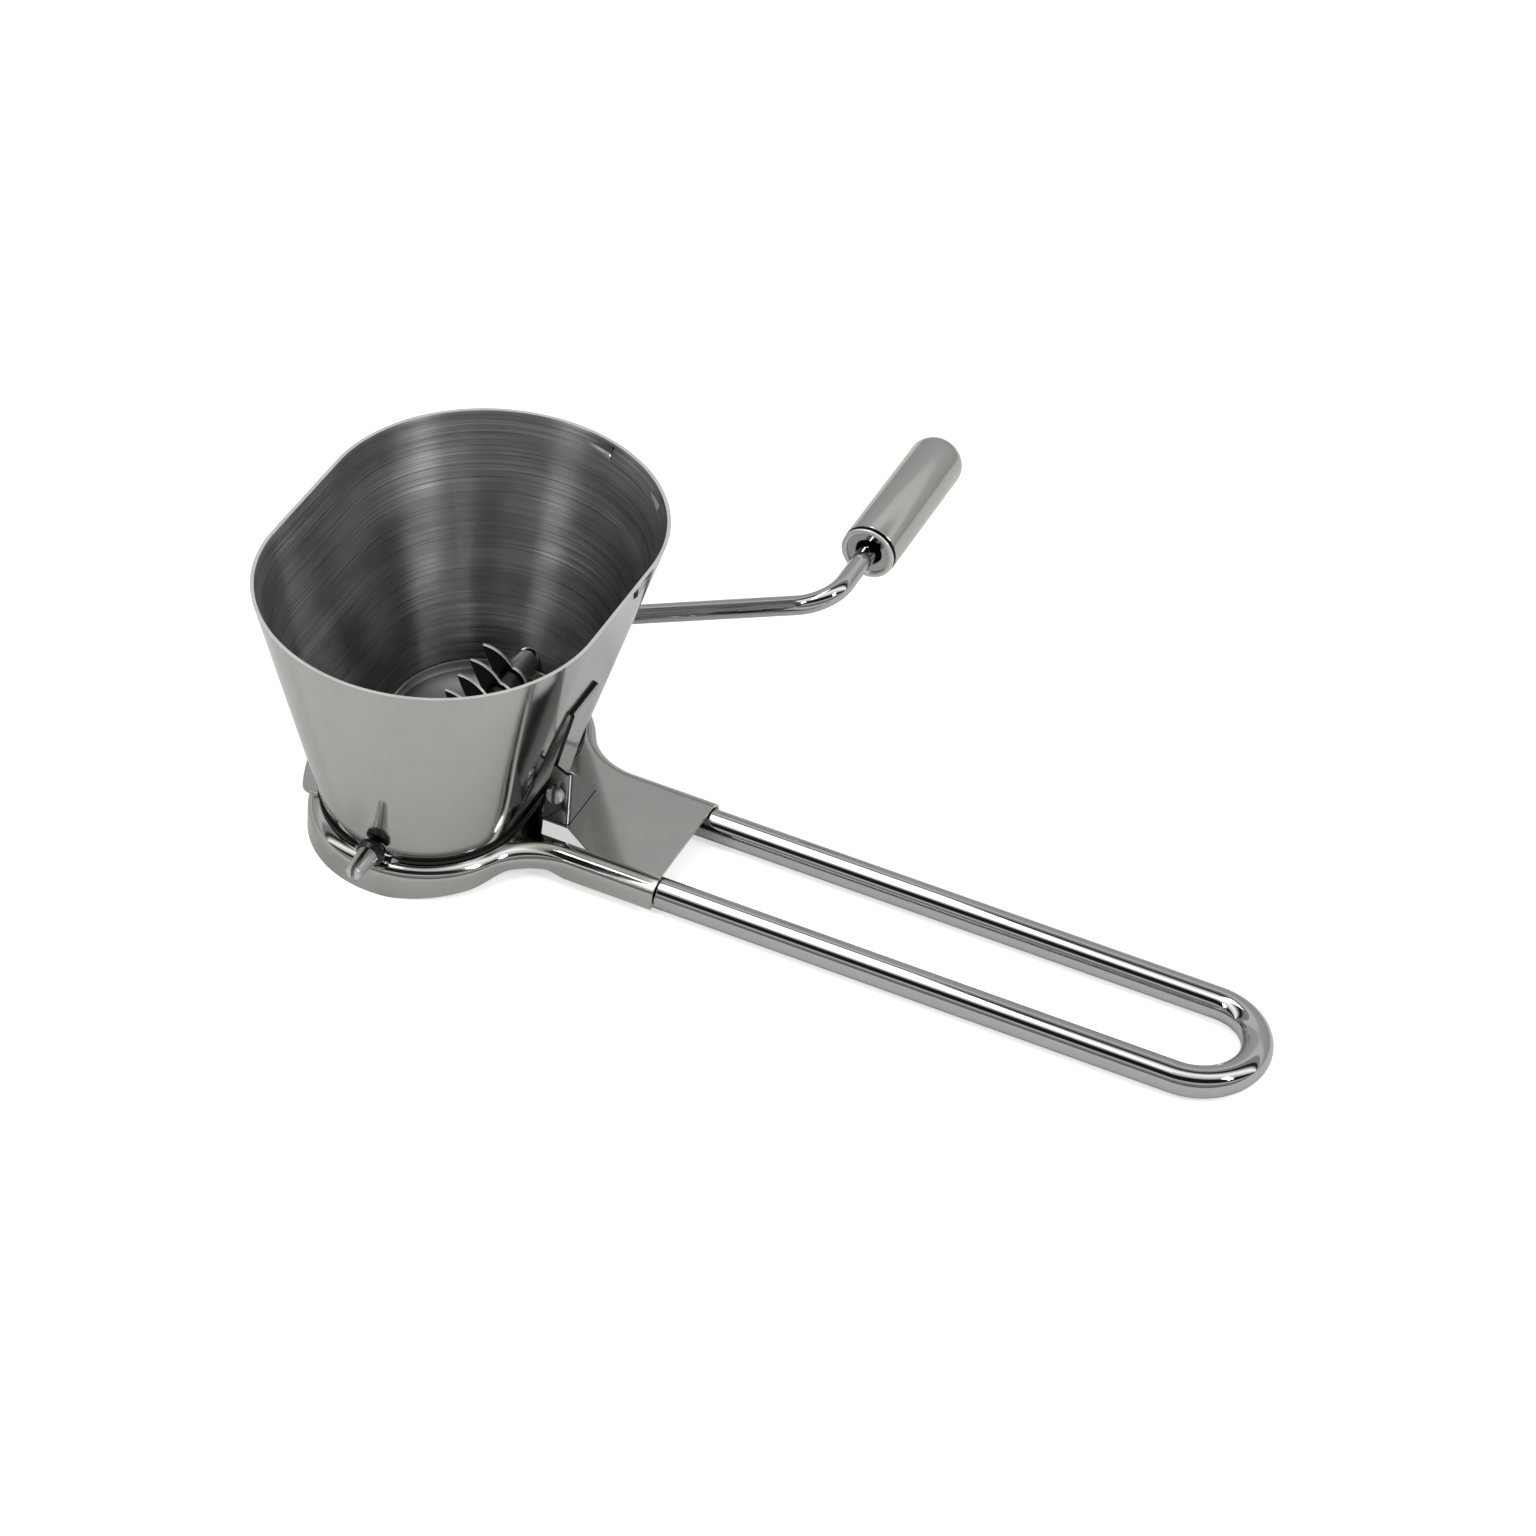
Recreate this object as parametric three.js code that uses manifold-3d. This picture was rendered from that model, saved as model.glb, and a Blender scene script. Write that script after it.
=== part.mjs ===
// Rotary herb mill: a flared hopper on a pressed frame with a wire handle, and a crank that turns a row of
// sickle blades through a slotted floor. Millimetres, +X along the handle, +Y along the shaft, +Z up.
import * as THREE from 'three';
import { mergeVertices } from 'three/addons/utils/BufferGeometryUtils.js';
import Module from 'manifold-3d';

const wasm = await Module();
wasm.setup();

// Clearances
const seatGap = 0.2; // between pieces that rest on each other
const fitGap = 0.25; // around the shaft, pins and plugs
const slotGap = 0.5; // on each side of a blade in its floor slot

// Hopper, a thin sheet funnel with flat sides and round ends
const flatHalf = 13.6; // half length of a flat side, along the shaft
const baseRadius = 21; // of the round ends at the lower edge
const rimRadius = 36; // of the round ends at the rim
const hopperHeight = 54;
const hopperSheet = 0.8;

// Frame, one pressing: a ring under the hopper and a channel plate over the handle wire
const frameHeight = 7.7;
const frameSheet = 0.8;
const shoulderRadius = 3;
const ringMargin = 2.7; // skirt outside the hopper's lower edge
const ringLedge = 0.8; // ledge under the hopper's lower edge
const neckRadius = 14;
const plateReach = 53.4; // end of the plate, from the hopper's axis

// Lower edge of the frame's skirt, places measured along the handle from the hopper's axis
const skirtStart = 4; // leaves the table
const skirtBend = 19; // turns up into the arch of the necks
const skirtBendLift = 1.6;
const archStart = 23;
const archEnd = 30.2;
const archLift = 3.2;
const plateStart = 33.4; // foot of the arch, where the plate's own edge begins
const plateLift = 2;

// Handle
const wireDiameter = 6.6;
const wireSpacing = 24.6; // between the two legs, centre to centre
const handleReach = 165.8; // centre of the end bend, from the hopper's axis
const wireGrip = 14.4; // length of each leg held under the plate

// Floor
const floorSheet = 0.7;
const floorFlange = 0.5; // flange outside the hopper's lower edge
const floorHeight = 1.9; // underside of the floor above the table
const floorFlatRadius = 6; // of the flat bottom's round ends
const slotEndGap = 2.4; // slot length past the point where a blade dips through the floor

// Rotor and crank
const rodDiameter = 4.2;
const shaftHeight = 10.4; // above the table
const tipFloorGap = 0.5; // lowest blade point above the table
const bladeThickness = 0.8;
const bladePitch = 5.8;
const bladeHubRadius = 3.6;
const bladePointAngle = 134; // of one point about the shaft, in degrees
const bladeBackStart = -50; // where an arm's back leaves the hub, from its point, in degrees
const bladeBackAngle = -24; // belly of the back, in degrees from the point
const bladeBackReach = 0.8; // belly of the back, as a share of the blade's radius
const bladeEdgeAngle = 4; // hollow of the cutting edge, in degrees from the point
const bladeEdgeReach = 0.62; // hollow of the cutting edge, as a share of the blade's radius
const bladeEdgeEnd = 24; // where the cutting edge meets the hub, from its point, in degrees
const endSpace = 7.4; // from the end wall to the middle of the last blade
const spacerWall = 0.55;
const crankReach = 59.5; // grip axis from the shaft, along the handle
const crankRise = 25.4; // grip axis above the shaft
const bendRadius = 8;
const crankSlant = 2.6; // of the arm out of the plane square to the shaft, in degrees
const armClearance = 1.3; // between the hopper's rim and the outer end of the turning arm
const tipCollarRadius = 3;
const tipCollarLength = 1.6;
const tipLength = 6.9; // taper of the snap tip in front of its collar
const tipSwell = 0.2; // root of the taper outside the rod's surface
const tipTaper = 0.45; // end of the taper inside the rod's surface
const tipSlit = 0.8;
const tipRoot = 0.5; // solid taper between the slit and the collar
const tipNose = 0.5; // rounding at the end of the taper

// Grip
const gripDiameter = 12.2;
const gripLength = 39.9;
const gripWall = 0.8;
const gripCorner = 4.8;
const spindleReach = 20.6; // from the arm to the mouth of the sleeve
const capFlange = 1; // thickness of the cap's flange in front of the sleeve
const capMargin = 0.1; // flange inside the sleeve's outer surface
const capDish = 0.6; // depth of the hollow in the flange's face
const capDishRadius = 4.6;
const capLength = 6; // plug inside the sleeve
const retainerRadius = 3.6;
const retainerLength = 1.4;

// Strap, bracket and split pin that tie the hopper to the plate
const strapWidth = 11.4;
const strapSheet = 0.8;
const strapCentre = -0.8; // along the shaft
const strapSlotRise = 27.4; // slot above the hopper's lower edge
const strapGapTop = 0.35;
const strapGapBottom = 1.9;
const strapHook = 1.5; // length of the hook inside the hopper
const strapBend = 0.3; // rounding outside the top bend
const bracketSheet = 0.8;
const bracketHeight = 13.1; // at the fold
const bracketReach = 9; // outer face of the web, from the hopper's lower edge
const cheekWidth = 6; // at the foot
const cheekLean = 2; // top edge narrower than the foot, beside the leaning strap
const cheekRise = 1.5; // top edge higher at the strap than at the fold
const webFoot = 0.8; // height of the web's low end
const webLength = 13.5;
const pinRise = 8; // pin axis above the plate
const pinInset = 2.8; // pin axis inside the web's outer face
const pinShankRadius = 1.05;
const pinBarbRadius = 1.9;
const pinHeadRadius = 1.65;
const pinHeadLength = 1.2;
const pinTail = 4; // shank behind the cheek
const pinBarbLength = 1.7;
const pinSlit = 0.8;
const pinRoot = 2; // solid shank between the slit and the head
const pinChamfer = 0.4;

// Window in the plate beside the bracket
const windowReach = 16; // far corner, from the hopper's lower edge
const windowInner = 3.4; // near end at the bracket, from the hopper's lower edge
const windowSlant = 1.9; // near end at the plate's side, further from the hopper
const windowEdge = 4.4; // from the plate's side

// Ear, a flat tab on the ring beside the floor's flange
const earHalf = 24.2; // half its length, along the shaft
const earBow = 53.6; // radius of its outer edge
const earReach = 4.6; // middle of its outer edge, outside the ring
const earSheet = 0.8;

// Facets
const arcSteps = 28; // in a half circle of the hopper or the frame
const turnSteps = 24; // around a turned piece
const cornerSteps = 5; // in a small quarter round
const bladeSteps = 5; // in each curve of a blade
const barSteps = 62; // along a bent bar
const barSides = 12;
const cutMargin = 3; // how far a cutting tool runs past the sheet it cuts

// Derived places
const wireRadius = wireDiameter / 2;
const wireHalf = wireSpacing / 2;
const rodRadius = rodDiameter / 2;
const ringRadius = baseRadius + ringMargin;
const openingRadius = baseRadius - ringLedge;
const plateShoulder = wireRadius + seatGap + frameSheet; // about the handle wire
const plateHalf = wireHalf + plateShoulder;
const wireHeight = frameHeight - frameSheet - seatGap - wireRadius;
const flangeBottom = frameHeight + seatGap;
const flangeTop = flangeBottom + floorSheet;
const hopperBottom = flangeTop + seatGap;
const hopperRim = hopperBottom + hopperHeight;
const flare = (rimRadius - baseRadius) / hopperHeight;
const hopperWall = hopperSheet * Math.hypot(1, flare); // sheet measured level
const hopperRadiusAt = (z) => baseRadius + (z - hopperBottom) * flare;
const rotorHalf = flatHalf + baseRadius - hopperWall;
const bladeRadius = shaftHeight - tipFloorGap;
const bladeCount = Math.floor((2 * (rotorHalf - endSpace)) / bladePitch) + 1;
const boreRadius = rodRadius + fitGap;
const armPlane = flatHalf + rimRadius + rodRadius + armClearance;
const gripHeight = shaftHeight + crankRise;
const gripStart = armPlane + spindleReach;
const plugEnd = gripStart + capLength;
const tipStart = -(flatHalf + hopperRadiusAt(shaftHeight + tipCollarRadius) + 2 * seatGap);
const slotHeight = hopperBottom + strapSlotRise;
const strapNear = strapCentre - strapWidth / 2;
const strapFar = strapCentre + strapWidth / 2;
const cheekFront = strapNear - fitGap - bracketSheet;
const webOuter = baseRadius + bracketReach;
const bracketFoot = frameHeight + seatGap;
const pinX = webOuter - pinInset;
const pinZ = frameHeight + pinRise;
const degrees = Math.PI / 180;
const bladeYs = Array.from({ length: bladeCount }, (_, i) => (i - (bladeCount - 1) / 2) * bladePitch);

// Points of an arc about a centre, both ends included
function arc(x, y, radius, from, to, steps) {
  const points = [];
  for (let i = 0; i <= steps; i++) {
    const angle = from + ((to - from) * i) / steps;
    points.push(new THREE.Vector2(x + radius * Math.cos(angle), y + radius * Math.sin(angle)));
  }
  return points;
}

// Oblong outline with round ends along Y, anticlockwise
function oblong(radius) {
  const back = arc(0, flatHalf, radius, 0, Math.PI, arcSteps);
  const front = arc(0, -flatHalf, radius, Math.PI, 2 * Math.PI, arcSteps);
  return [...back, ...front];
}

// Outline of the frame up to endX, moved in by one inset along the ring and by another along the plate: round
// ends, and hollow necks in which one inset passes into the other
function frameOutline(ringInset, plateInset, endX) {
  const neckY = plateHalf + neckRadius;
  const neckX = Math.sqrt((ringRadius + neckRadius) ** 2 - (neckY - flatHalf) ** 2);
  const meet = Math.atan2(neckY - flatHalf, neckX);
  const ring = ringRadius - ringInset;
  const steps = arcSteps / 4;
  const farNeck = Array.from({ length: steps + 1 }, (_, i) => {
    const angle = Math.PI / 2 + (Math.PI / 2 - meet) * (i / steps);
    const radius = neckRadius + plateInset + (ringInset - plateInset) * (i / steps);
    return new THREE.Vector2(neckX + radius * Math.cos(angle), neckY - radius * Math.sin(angle));
  });
  const nearNeck = farNeck.map((p) => new THREE.Vector2(p.x, -p.y));
  return [
    new THREE.Vector2(endX, plateInset - plateHalf),
    new THREE.Vector2(endX, plateHalf - plateInset),
    ...farNeck,
    ...arc(0, flatHalf, ring, meet, Math.PI, arcSteps),
    ...arc(0, -flatHalf, ring, Math.PI, 2 * Math.PI - meet, arcSteps),
    ...nearNeck.reverse(),
  ];
}

// Skin through level outlines with the same number of points. A closed skin joins the last to the first,
// and an open one is capped at both ends.
function loft(levels, closed) {
  const count = levels[0].outline.length;
  const position = levels.flatMap(({ outline, z }) => outline.flatMap((p) => [p.x, p.y, z]));
  const index = [];
  const bands = closed ? levels.length : levels.length - 1;
  for (let k = 0; k < bands; k++) {
    const low = k * count;
    const high = ((k + 1) % levels.length) * count;
    for (let i = 0; i < count; i++) {
      const j = (i + 1) % count;
      index.push(low + i, low + j, high + j, low + i, high + j, high + i);
    }
  }
  if (!closed) {
    const last = (levels.length - 1) * count;
    const first = THREE.ShapeUtils.triangulateShape(levels[0].outline, []);
    const final = THREE.ShapeUtils.triangulateShape(levels.at(-1).outline, []);
    first.forEach(([a, b, c]) => index.push(a, c, b));
    final.forEach(([a, b, c]) => index.push(last + a, last + b, last + c));
  }
  const geometry = new THREE.BufferGeometry();
  geometry.setAttribute('position', new THREE.Float32BufferAttribute(position, 3));
  return geometry.setIndex(index);
}

// Straight prism of an outline between two heights
function prism(outline, bottom, top) {
  return loft([{ outline, z: bottom }, { outline, z: top }], false);
}

// Sheet profile in the XZ plane, given thickness along Y from start to start + width
function acrossY(shape, start, width) {
  const options = { depth: width, bevelEnabled: false, curveSegments: bladeSteps };
  return new THREE.ExtrudeGeometry(shape, options).rotateX(Math.PI / 2).translate(0, start + width, 0);
}

// Turned piece about an axis along Y at (x, z), from [radius, y] corners
function turned(corners, x, z) {
  const profile = corners.map(([r, y]) => new THREE.Vector2(r, y));
  return new THREE.LatheGeometry(profile, turnSteps).translate(x, 0, z);
}

// Plain disc, or the tool that bores its hole
function disc(radius, from, to, x, z) {
  return turned([[0, from], [radius, from], [radius, to], [0, to]], x, z);
}

function tube(inner, outer, from, to, x, z) {
  return turned([[inner, from], [outer, from], [outer, to], [inner, to], [inner, from]], x, z);
}

// Round bar along a path
function bar(path, radius) {
  const section = new THREE.Shape().absarc(0, 0, radius, 0, 2 * Math.PI);
  const options = { steps: barSteps, curveSegments: barSides / 2, extrudePath: path };
  return new THREE.ExtrudeGeometry(section, options);
}

// Arc in space: leaves along one direction and turns into another
class Bend extends THREE.Curve {
  constructor(corner, into, out, radius, sweep) {
    super();
    Object.assign(this, { into, out, radius, sweep });
    this.centre = corner.clone().addScaledVector(out, radius);
  }

  getPoint(t, target = new THREE.Vector3()) {
    const angle = t * this.sweep;
    target.copy(this.centre);
    target.addScaledVector(this.out, -this.radius * Math.cos(angle));
    return target.addScaledVector(this.into, this.radius * Math.sin(angle));
  }
}

function toSolid(geometry) {
  const loose = geometry.index ? geometry.toNonIndexed() : geometry;
  const bare = new THREE.BufferGeometry().setAttribute('position', loose.getAttribute('position'));
  const merged = mergeVertices(bare, 1e-4);
  const vertProperties = merged.getAttribute('position').array;
  const triVerts = new Uint32Array(merged.index.array);
  return new wasm.Manifold(new wasm.Mesh({ numProp: 3, vertProperties, triVerts }));
}

function toGeometry(solid) {
  const mesh = solid.getMesh();
  const geometry = new THREE.BufferGeometry();
  geometry.setAttribute('position', new THREE.BufferAttribute(mesh.vertProperties, 3));
  return geometry.setIndex(new THREE.BufferAttribute(mesh.triVerts, 1));
}

function cut(geometry, ...tools) {
  return toGeometry(tools.reduce((solid, tool) => solid.subtract(toSolid(tool)), toSolid(geometry)));
}

function join(...pieces) {
  return toGeometry(pieces.map(toSolid).reduce((whole, piece) => whole.add(piece)));
}

function box(x0, x1, y0, y1, z0, z1) {
  const geometry = new THREE.BoxGeometry(x1 - x0, y1 - y0, z1 - z0);
  return geometry.translate((x0 + x1) / 2, (y0 + y1) / 2, (z0 + z1) / 2);
}

function hopper() {
  const skin = loft([
    { outline: oblong(baseRadius), z: hopperBottom },
    { outline: oblong(rimRadius), z: hopperRim },
    { outline: oblong(rimRadius - hopperWall), z: hopperRim },
    { outline: oblong(baseRadius - hopperWall), z: hopperBottom },
  ], true);
  const reach = flatHalf + rimRadius;
  const notch = disc(boreRadius, -reach, reach, 0, shaftHeight);
  const half = strapSheet / 2 + fitGap;
  const slotX = hopperRadiusAt(slotHeight);
  const slot = box(slotX - cutMargin, slotX + cutMargin, strapNear - fitGap, strapFar + fitGap,
    slotHeight - half, slotHeight + half);
  return cut(skin, notch, slot);
}

// How far a rounded shoulder's surface, moved in by inset, lies inside the skirt at one height
function shoulderInset(shoulder, inset, z) {
  const rise = Math.max(z - frameHeight + shoulder, 0);
  return shoulder - Math.sqrt(Math.max((shoulder - inset) ** 2 - rise ** 2, 0));
}

// Levels of the pressing: a skirt, a shoulder that is rounder along the plate, and the flat top
function pressing(inset, bottom, endX) {
  const levels = [{ outline: frameOutline(inset, inset, endX), z: bottom }];
  for (let i = 0; i <= cornerSteps; i++) {
    const angle = (Math.PI / 2) * (i / cornerSteps);
    const z = frameHeight - plateShoulder + (plateShoulder - inset) * Math.sin(angle);
    const ringInset = shoulderInset(shoulderRadius, inset, z);
    const plateInset = shoulderInset(plateShoulder, inset, z);
    levels.push({ outline: frameOutline(ringInset, plateInset, endX), z });
  }
  return loft(levels, false);
}

// Tool that trims the skirt's lower edge: an arch in each neck and a lift along the plate
function skirtTrim() {
  const reach = flatHalf + ringRadius + cutMargin;
  const end = plateReach + cutMargin;
  const edge = new THREE.Shape();
  edge.moveTo(skirtStart, -cutMargin);
  edge.lineTo(end, -cutMargin);
  edge.lineTo(end, plateLift);
  edge.lineTo(plateStart, plateLift);
  edge.lineTo(archEnd, archLift);
  edge.lineTo(archStart, archLift);
  edge.lineTo(skirtBend, skirtBendLift);
  edge.lineTo(skirtStart, 0);
  return acrossY(edge, -reach, 2 * reach);
}

function frame() {
  const outside = pressing(0, 0, plateReach);
  const inside = pressing(frameSheet, -cutMargin, plateReach + cutMargin);
  const opening = prism(oblong(openingRadius), -cutMargin, frameHeight + cutMargin);
  const near = windowEdge - plateHalf;
  const windowPlan = [
    new THREE.Vector2(baseRadius + windowInner + windowSlant, near),
    new THREE.Vector2(baseRadius + windowReach, near),
    new THREE.Vector2(baseRadius + bracketReach, cheekFront),
    new THREE.Vector2(baseRadius + windowInner, cheekFront),
  ];
  const window = prism(windowPlan, frameHeight - cutMargin, frameHeight + cutMargin);
  return cut(outside, inside, opening, window, skirtTrim());
}

function handleWire() {
  const start = plateReach - wireGrip;
  const along = new THREE.Vector3(1, 0, 0);
  const across = new THREE.Vector3(0, 1, 0);
  const path = new THREE.CurvePath();
  const corner = new THREE.Vector3(handleReach, -wireHalf, wireHeight);
  path.add(new THREE.LineCurve3(new THREE.Vector3(start, -wireHalf, wireHeight), corner));
  path.add(new Bend(corner, along, across, wireHalf, Math.PI));
  path.add(new THREE.LineCurve3(new THREE.Vector3(handleReach, wireHalf, wireHeight),
    new THREE.Vector3(start, wireHalf, wireHeight)));
  return bar(path, wireRadius);
}

// Height of the floor's underside falls from its flange to the flat bottom along a quarter ellipse
function floorSide(radius, flat, top, bottom) {
  const levels = [];
  for (let i = 0; i <= cornerSteps; i++) {
    const angle = (Math.PI / 2) * (i / cornerSteps);
    const reach = flat + (radius - flat) * Math.sin(angle);
    levels.push({ outline: oblong(reach), z: top - (top - bottom) * Math.cos(angle) });
  }
  return levels;
}

function combFloor() {
  const outer = openingRadius - 2 * seatGap;
  const inner = outer - floorSheet;
  const flangeRadius = baseRadius + floorFlange;
  const under = floorSide(outer, floorFlatRadius, flangeBottom, floorHeight);
  const upper = floorSide(inner, floorFlatRadius - floorSheet, flangeTop, floorHeight + floorSheet);
  const flange = [
    { outline: oblong(flangeRadius), z: flangeBottom },
    { outline: oblong(flangeRadius), z: flangeTop },
  ];
  const dish = loft([...under, ...flange, ...upper.reverse()], false);
  const dip = shaftHeight - floorHeight - floorSheet;
  const half = Math.sqrt(bladeRadius ** 2 - dip ** 2) + slotEndGap;
  const wide = bladeThickness / 2 + slotGap;
  const slots = bladeYs.map((y) => box(-half, half, y - wide, y + wide, -cutMargin, flangeBottom));
  const reach = flatHalf + flangeRadius + cutMargin;
  const sleeveRoom = boreRadius + spacerWall + fitGap;
  return cut(dish, ...slots, disc(sleeveRoom, -reach, reach, 0, shaftHeight));
}

const polar = (radius, angle) => [radius * Math.cos(angle * degrees), radius * Math.sin(angle * degrees)];

// Two-armed sickle blade: each arm leaves the hub and hooks over to its point
function blade(y) {
  const shape = new THREE.Shape();
  shape.moveTo(...polar(bladeHubRadius, bladePointAngle + bladeBackStart));
  [bladePointAngle, bladePointAngle + 180].forEach((point) => {
    const back = polar(bladeBackReach * bladeRadius, point + bladeBackAngle);
    const edge = polar(bladeEdgeReach * bladeRadius, point + bladeEdgeAngle);
    shape.quadraticCurveTo(...back, ...polar(bladeRadius, point));
    shape.quadraticCurveTo(...edge, ...polar(bladeHubRadius, point + bladeEdgeEnd));
    const from = (point + bladeEdgeEnd) * degrees;
    const to = (point + 180 + bladeBackStart) * degrees;
    shape.absarc(0, 0, bladeHubRadius, from, to, false);
  });
  shape.holes.push(new THREE.Path().absarc(0, 0, boreRadius, 0, 2 * Math.PI, true));
  return acrossY(shape, y - bladeThickness / 2, bladeThickness).translate(0, 0, shaftHeight);
}

function crankRod() {
  const along = new THREE.Vector3(0, 1, 0);
  const outward = new THREE.Vector3(crankReach, 0, crankRise);
  const slant = crankSlant * degrees;
  const drift = outward.length() * Math.tan(slant);
  outward.normalize();
  const arm = outward.clone().multiplyScalar(Math.cos(slant)).addScaledVector(along, Math.sin(slant));
  const inward = along.clone().multiplyScalar(Math.cos(slant)).addScaledVector(outward, -Math.sin(slant));
  const sweep = Math.PI / 2 - slant;
  const setback = bendRadius * Math.tan(sweep / 2);
  const shaftEnd = new THREE.Vector3(0, armPlane - drift - setback, shaftHeight);
  const armEnd = new THREE.Vector3(crankReach, armPlane, gripHeight).addScaledVector(arm, -setback);
  const first = new Bend(shaftEnd, along, outward, bendRadius, sweep);
  const second = new Bend(armEnd, arm, inward, bendRadius, sweep);
  const spindleEnd = new THREE.Vector3(crankReach, plugEnd + seatGap, gripHeight);
  const path = new THREE.CurvePath();
  path.add(new THREE.LineCurve3(new THREE.Vector3(0, tipStart + seatGap, shaftHeight), shaftEnd));
  path.add(first);
  path.add(new THREE.LineCurve3(first.getPoint(1), armEnd));
  path.add(second);
  path.add(new THREE.LineCurve3(second.getPoint(1), spindleEnd));
  return bar(path, rodRadius);
}

function shaftTip() {
  const collarEnd = tipStart - tipCollarLength;
  const end = collarEnd - tipLength;
  const nose = rodRadius - tipTaper;
  const body = turned([
    [0, end], [nose - tipNose, end], [nose, end + tipNose], [rodRadius + tipSwell, collarEnd],
    [tipCollarRadius, collarEnd], [tipCollarRadius, tipStart], [0, tipStart],
  ], 0, shaftHeight);
  const slit = box(-tipSlit / 2, tipSlit / 2, end - cutMargin, collarEnd - tipRoot,
    shaftHeight - tipCollarRadius, shaftHeight + tipCollarRadius);
  return cut(body, slit);
}

function gripSleeve() {
  const outer = gripDiameter / 2;
  const inner = outer - gripWall;
  const end = gripStart + gripLength;
  const round = arc(outer - gripCorner, end - gripCorner, gripCorner, 0, Math.PI / 2, cornerSteps);
  const hollowEnd = end - gripCorner;
  return turned([
    [0, hollowEnd], [inner, hollowEnd], [inner, gripStart], [outer, gripStart],
    ...round.map((p) => [p.x, p.y]), [0, end],
  ], crankReach, gripHeight);
}

// Cap: a plug in the sleeve's mouth with a dished flange in front of it
function gripCap() {
  const plug = gripDiameter / 2 - gripWall - fitGap;
  const flange = gripDiameter / 2 - capMargin;
  const back = gripStart - seatGap;
  const front = back - capFlange;
  const face = front + capDish;
  return turned([
    [boreRadius, face], [capDishRadius, face], [capDishRadius, front], [flange, front], [flange, back],
    [plug, back], [plug, plugEnd], [boreRadius, plugEnd], [boreRadius, face],
  ], crankReach, gripHeight);
}

function gripRetainer() {
  const from = plugEnd + 2 * seatGap;
  return disc(retainerRadius, from, from + retainerLength, crankReach, gripHeight);
}

// Bent-up bracket: a cheek across the handle with the pin hole, and a web that slopes away from it
function pinBracket() {
  const top = bracketFoot + bracketHeight;
  const cheek = new THREE.Shape();
  cheek.moveTo(webOuter - cheekWidth, bracketFoot);
  cheek.lineTo(webOuter, bracketFoot);
  cheek.lineTo(webOuter, top);
  cheek.lineTo(webOuter - cheekWidth + cheekLean, top + cheekRise);
  cheek.holes.push(new THREE.Path().absarc(pinX, pinZ, pinShankRadius + fitGap, 0, 2 * Math.PI, true));
  const web = new THREE.Shape();
  web.moveTo(cheekFront, bracketFoot);
  web.lineTo(cheekFront + webLength, bracketFoot);
  web.lineTo(cheekFront + webLength, bracketFoot + webFoot);
  web.lineTo(cheekFront + bracketSheet, top);
  web.lineTo(cheekFront, top);
  const upright = new THREE.ExtrudeGeometry(web, { depth: bracketSheet, bevelEnabled: false });
  upright.rotateX(Math.PI / 2).rotateZ(Math.PI / 2).translate(webOuter - bracketSheet, 0, 0);
  return join(acrossY(cheek, cheekFront, bracketSheet), upright);
}

function splitPin() {
  const barbStart = cheekFront - fitGap;
  const end = barbStart - pinBarbLength;
  const headStart = cheekFront + bracketSheet + pinTail;
  const body = turned([
    [0, end], [pinBarbRadius - pinChamfer, end], [pinBarbRadius, end + pinChamfer],
    [pinBarbRadius, barbStart], [pinShankRadius, barbStart], [pinShankRadius, headStart],
    [pinHeadRadius, headStart], [pinHeadRadius, headStart + pinHeadLength], [0, headStart + pinHeadLength],
  ], pinX, pinZ);
  const slit = box(pinX - pinSlit / 2, pinX + pinSlit / 2, end - cutMargin, headStart - pinRoot,
    pinZ - cutMargin, pinZ + cutMargin);
  return cut(body, slit);
}

// Strap from its foot on the plate, up along the flat side, and through the slot into the hopper
function hopperStrap() {
  const foot = bracketFoot;
  const low = hopperRadiusAt(foot) + strapGapBottom;
  const under = slotHeight - strapSheet / 2;
  const over = slotHeight + strapSheet / 2;
  const bend = hopperRadiusAt(under) + strapGapTop;
  const inside = hopperRadiusAt(slotHeight) - hopperWall - strapHook;
  const strap = new THREE.Shape();
  strap.moveTo(low, foot);
  strap.lineTo(low + strapSheet, foot);
  strap.lineTo(bend + strapSheet, under);
  strap.lineTo(bend + strapSheet - strapBend, over);
  strap.lineTo(inside, over);
  strap.lineTo(inside, under);
  strap.lineTo(bend, under);
  return acrossY(strap, strapNear, strapWidth);
}

// Ear between an edge along the floor's flange and an edge that bows out past the ring
function catchEar() {
  const flange = baseRadius + floorFlange + seatGap;
  const centre = earBow - ringRadius - earReach;
  const half = Math.asin(earHalf / earBow);
  const turn = Math.asin((earHalf - flatHalf) / flange);
  const outside = arc(centre, 0, earBow, Math.PI - half, Math.PI + half, arcSteps);
  const near = arc(0, -flatHalf, flange, Math.PI + turn, Math.PI, cornerSteps);
  const far = arc(0, flatHalf, flange, Math.PI, Math.PI - turn, cornerSteps);
  const past = flange - ringRadius + shoulderRadius;
  const foot = frameHeight - shoulderRadius + Math.sqrt(shoulderRadius ** 2 - past ** 2) + seatGap;
  return prism([...outside, ...near, ...far], foot, foot + earSheet);
}

const finishes = {
  brushed: { color: 0xb4b3b0, roughness: 0.38 },
  polished: { color: 0xbdbcba, roughness: 0.16 },
  blade: { color: 0x8c8b88, roughness: 0.3 },
};

const mill = new THREE.Group();

function add(name, geometry, finish) {
  const material = new THREE.MeshStandardMaterial({ ...finishes[finish], metalness: 1 });
  const mesh = new THREE.Mesh(geometry, material);
  mesh.name = name;
  mill.add(mesh);
}

const numbered = (name, i) => `${name}_${String(i + 1).padStart(2, '0')}`;

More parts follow.
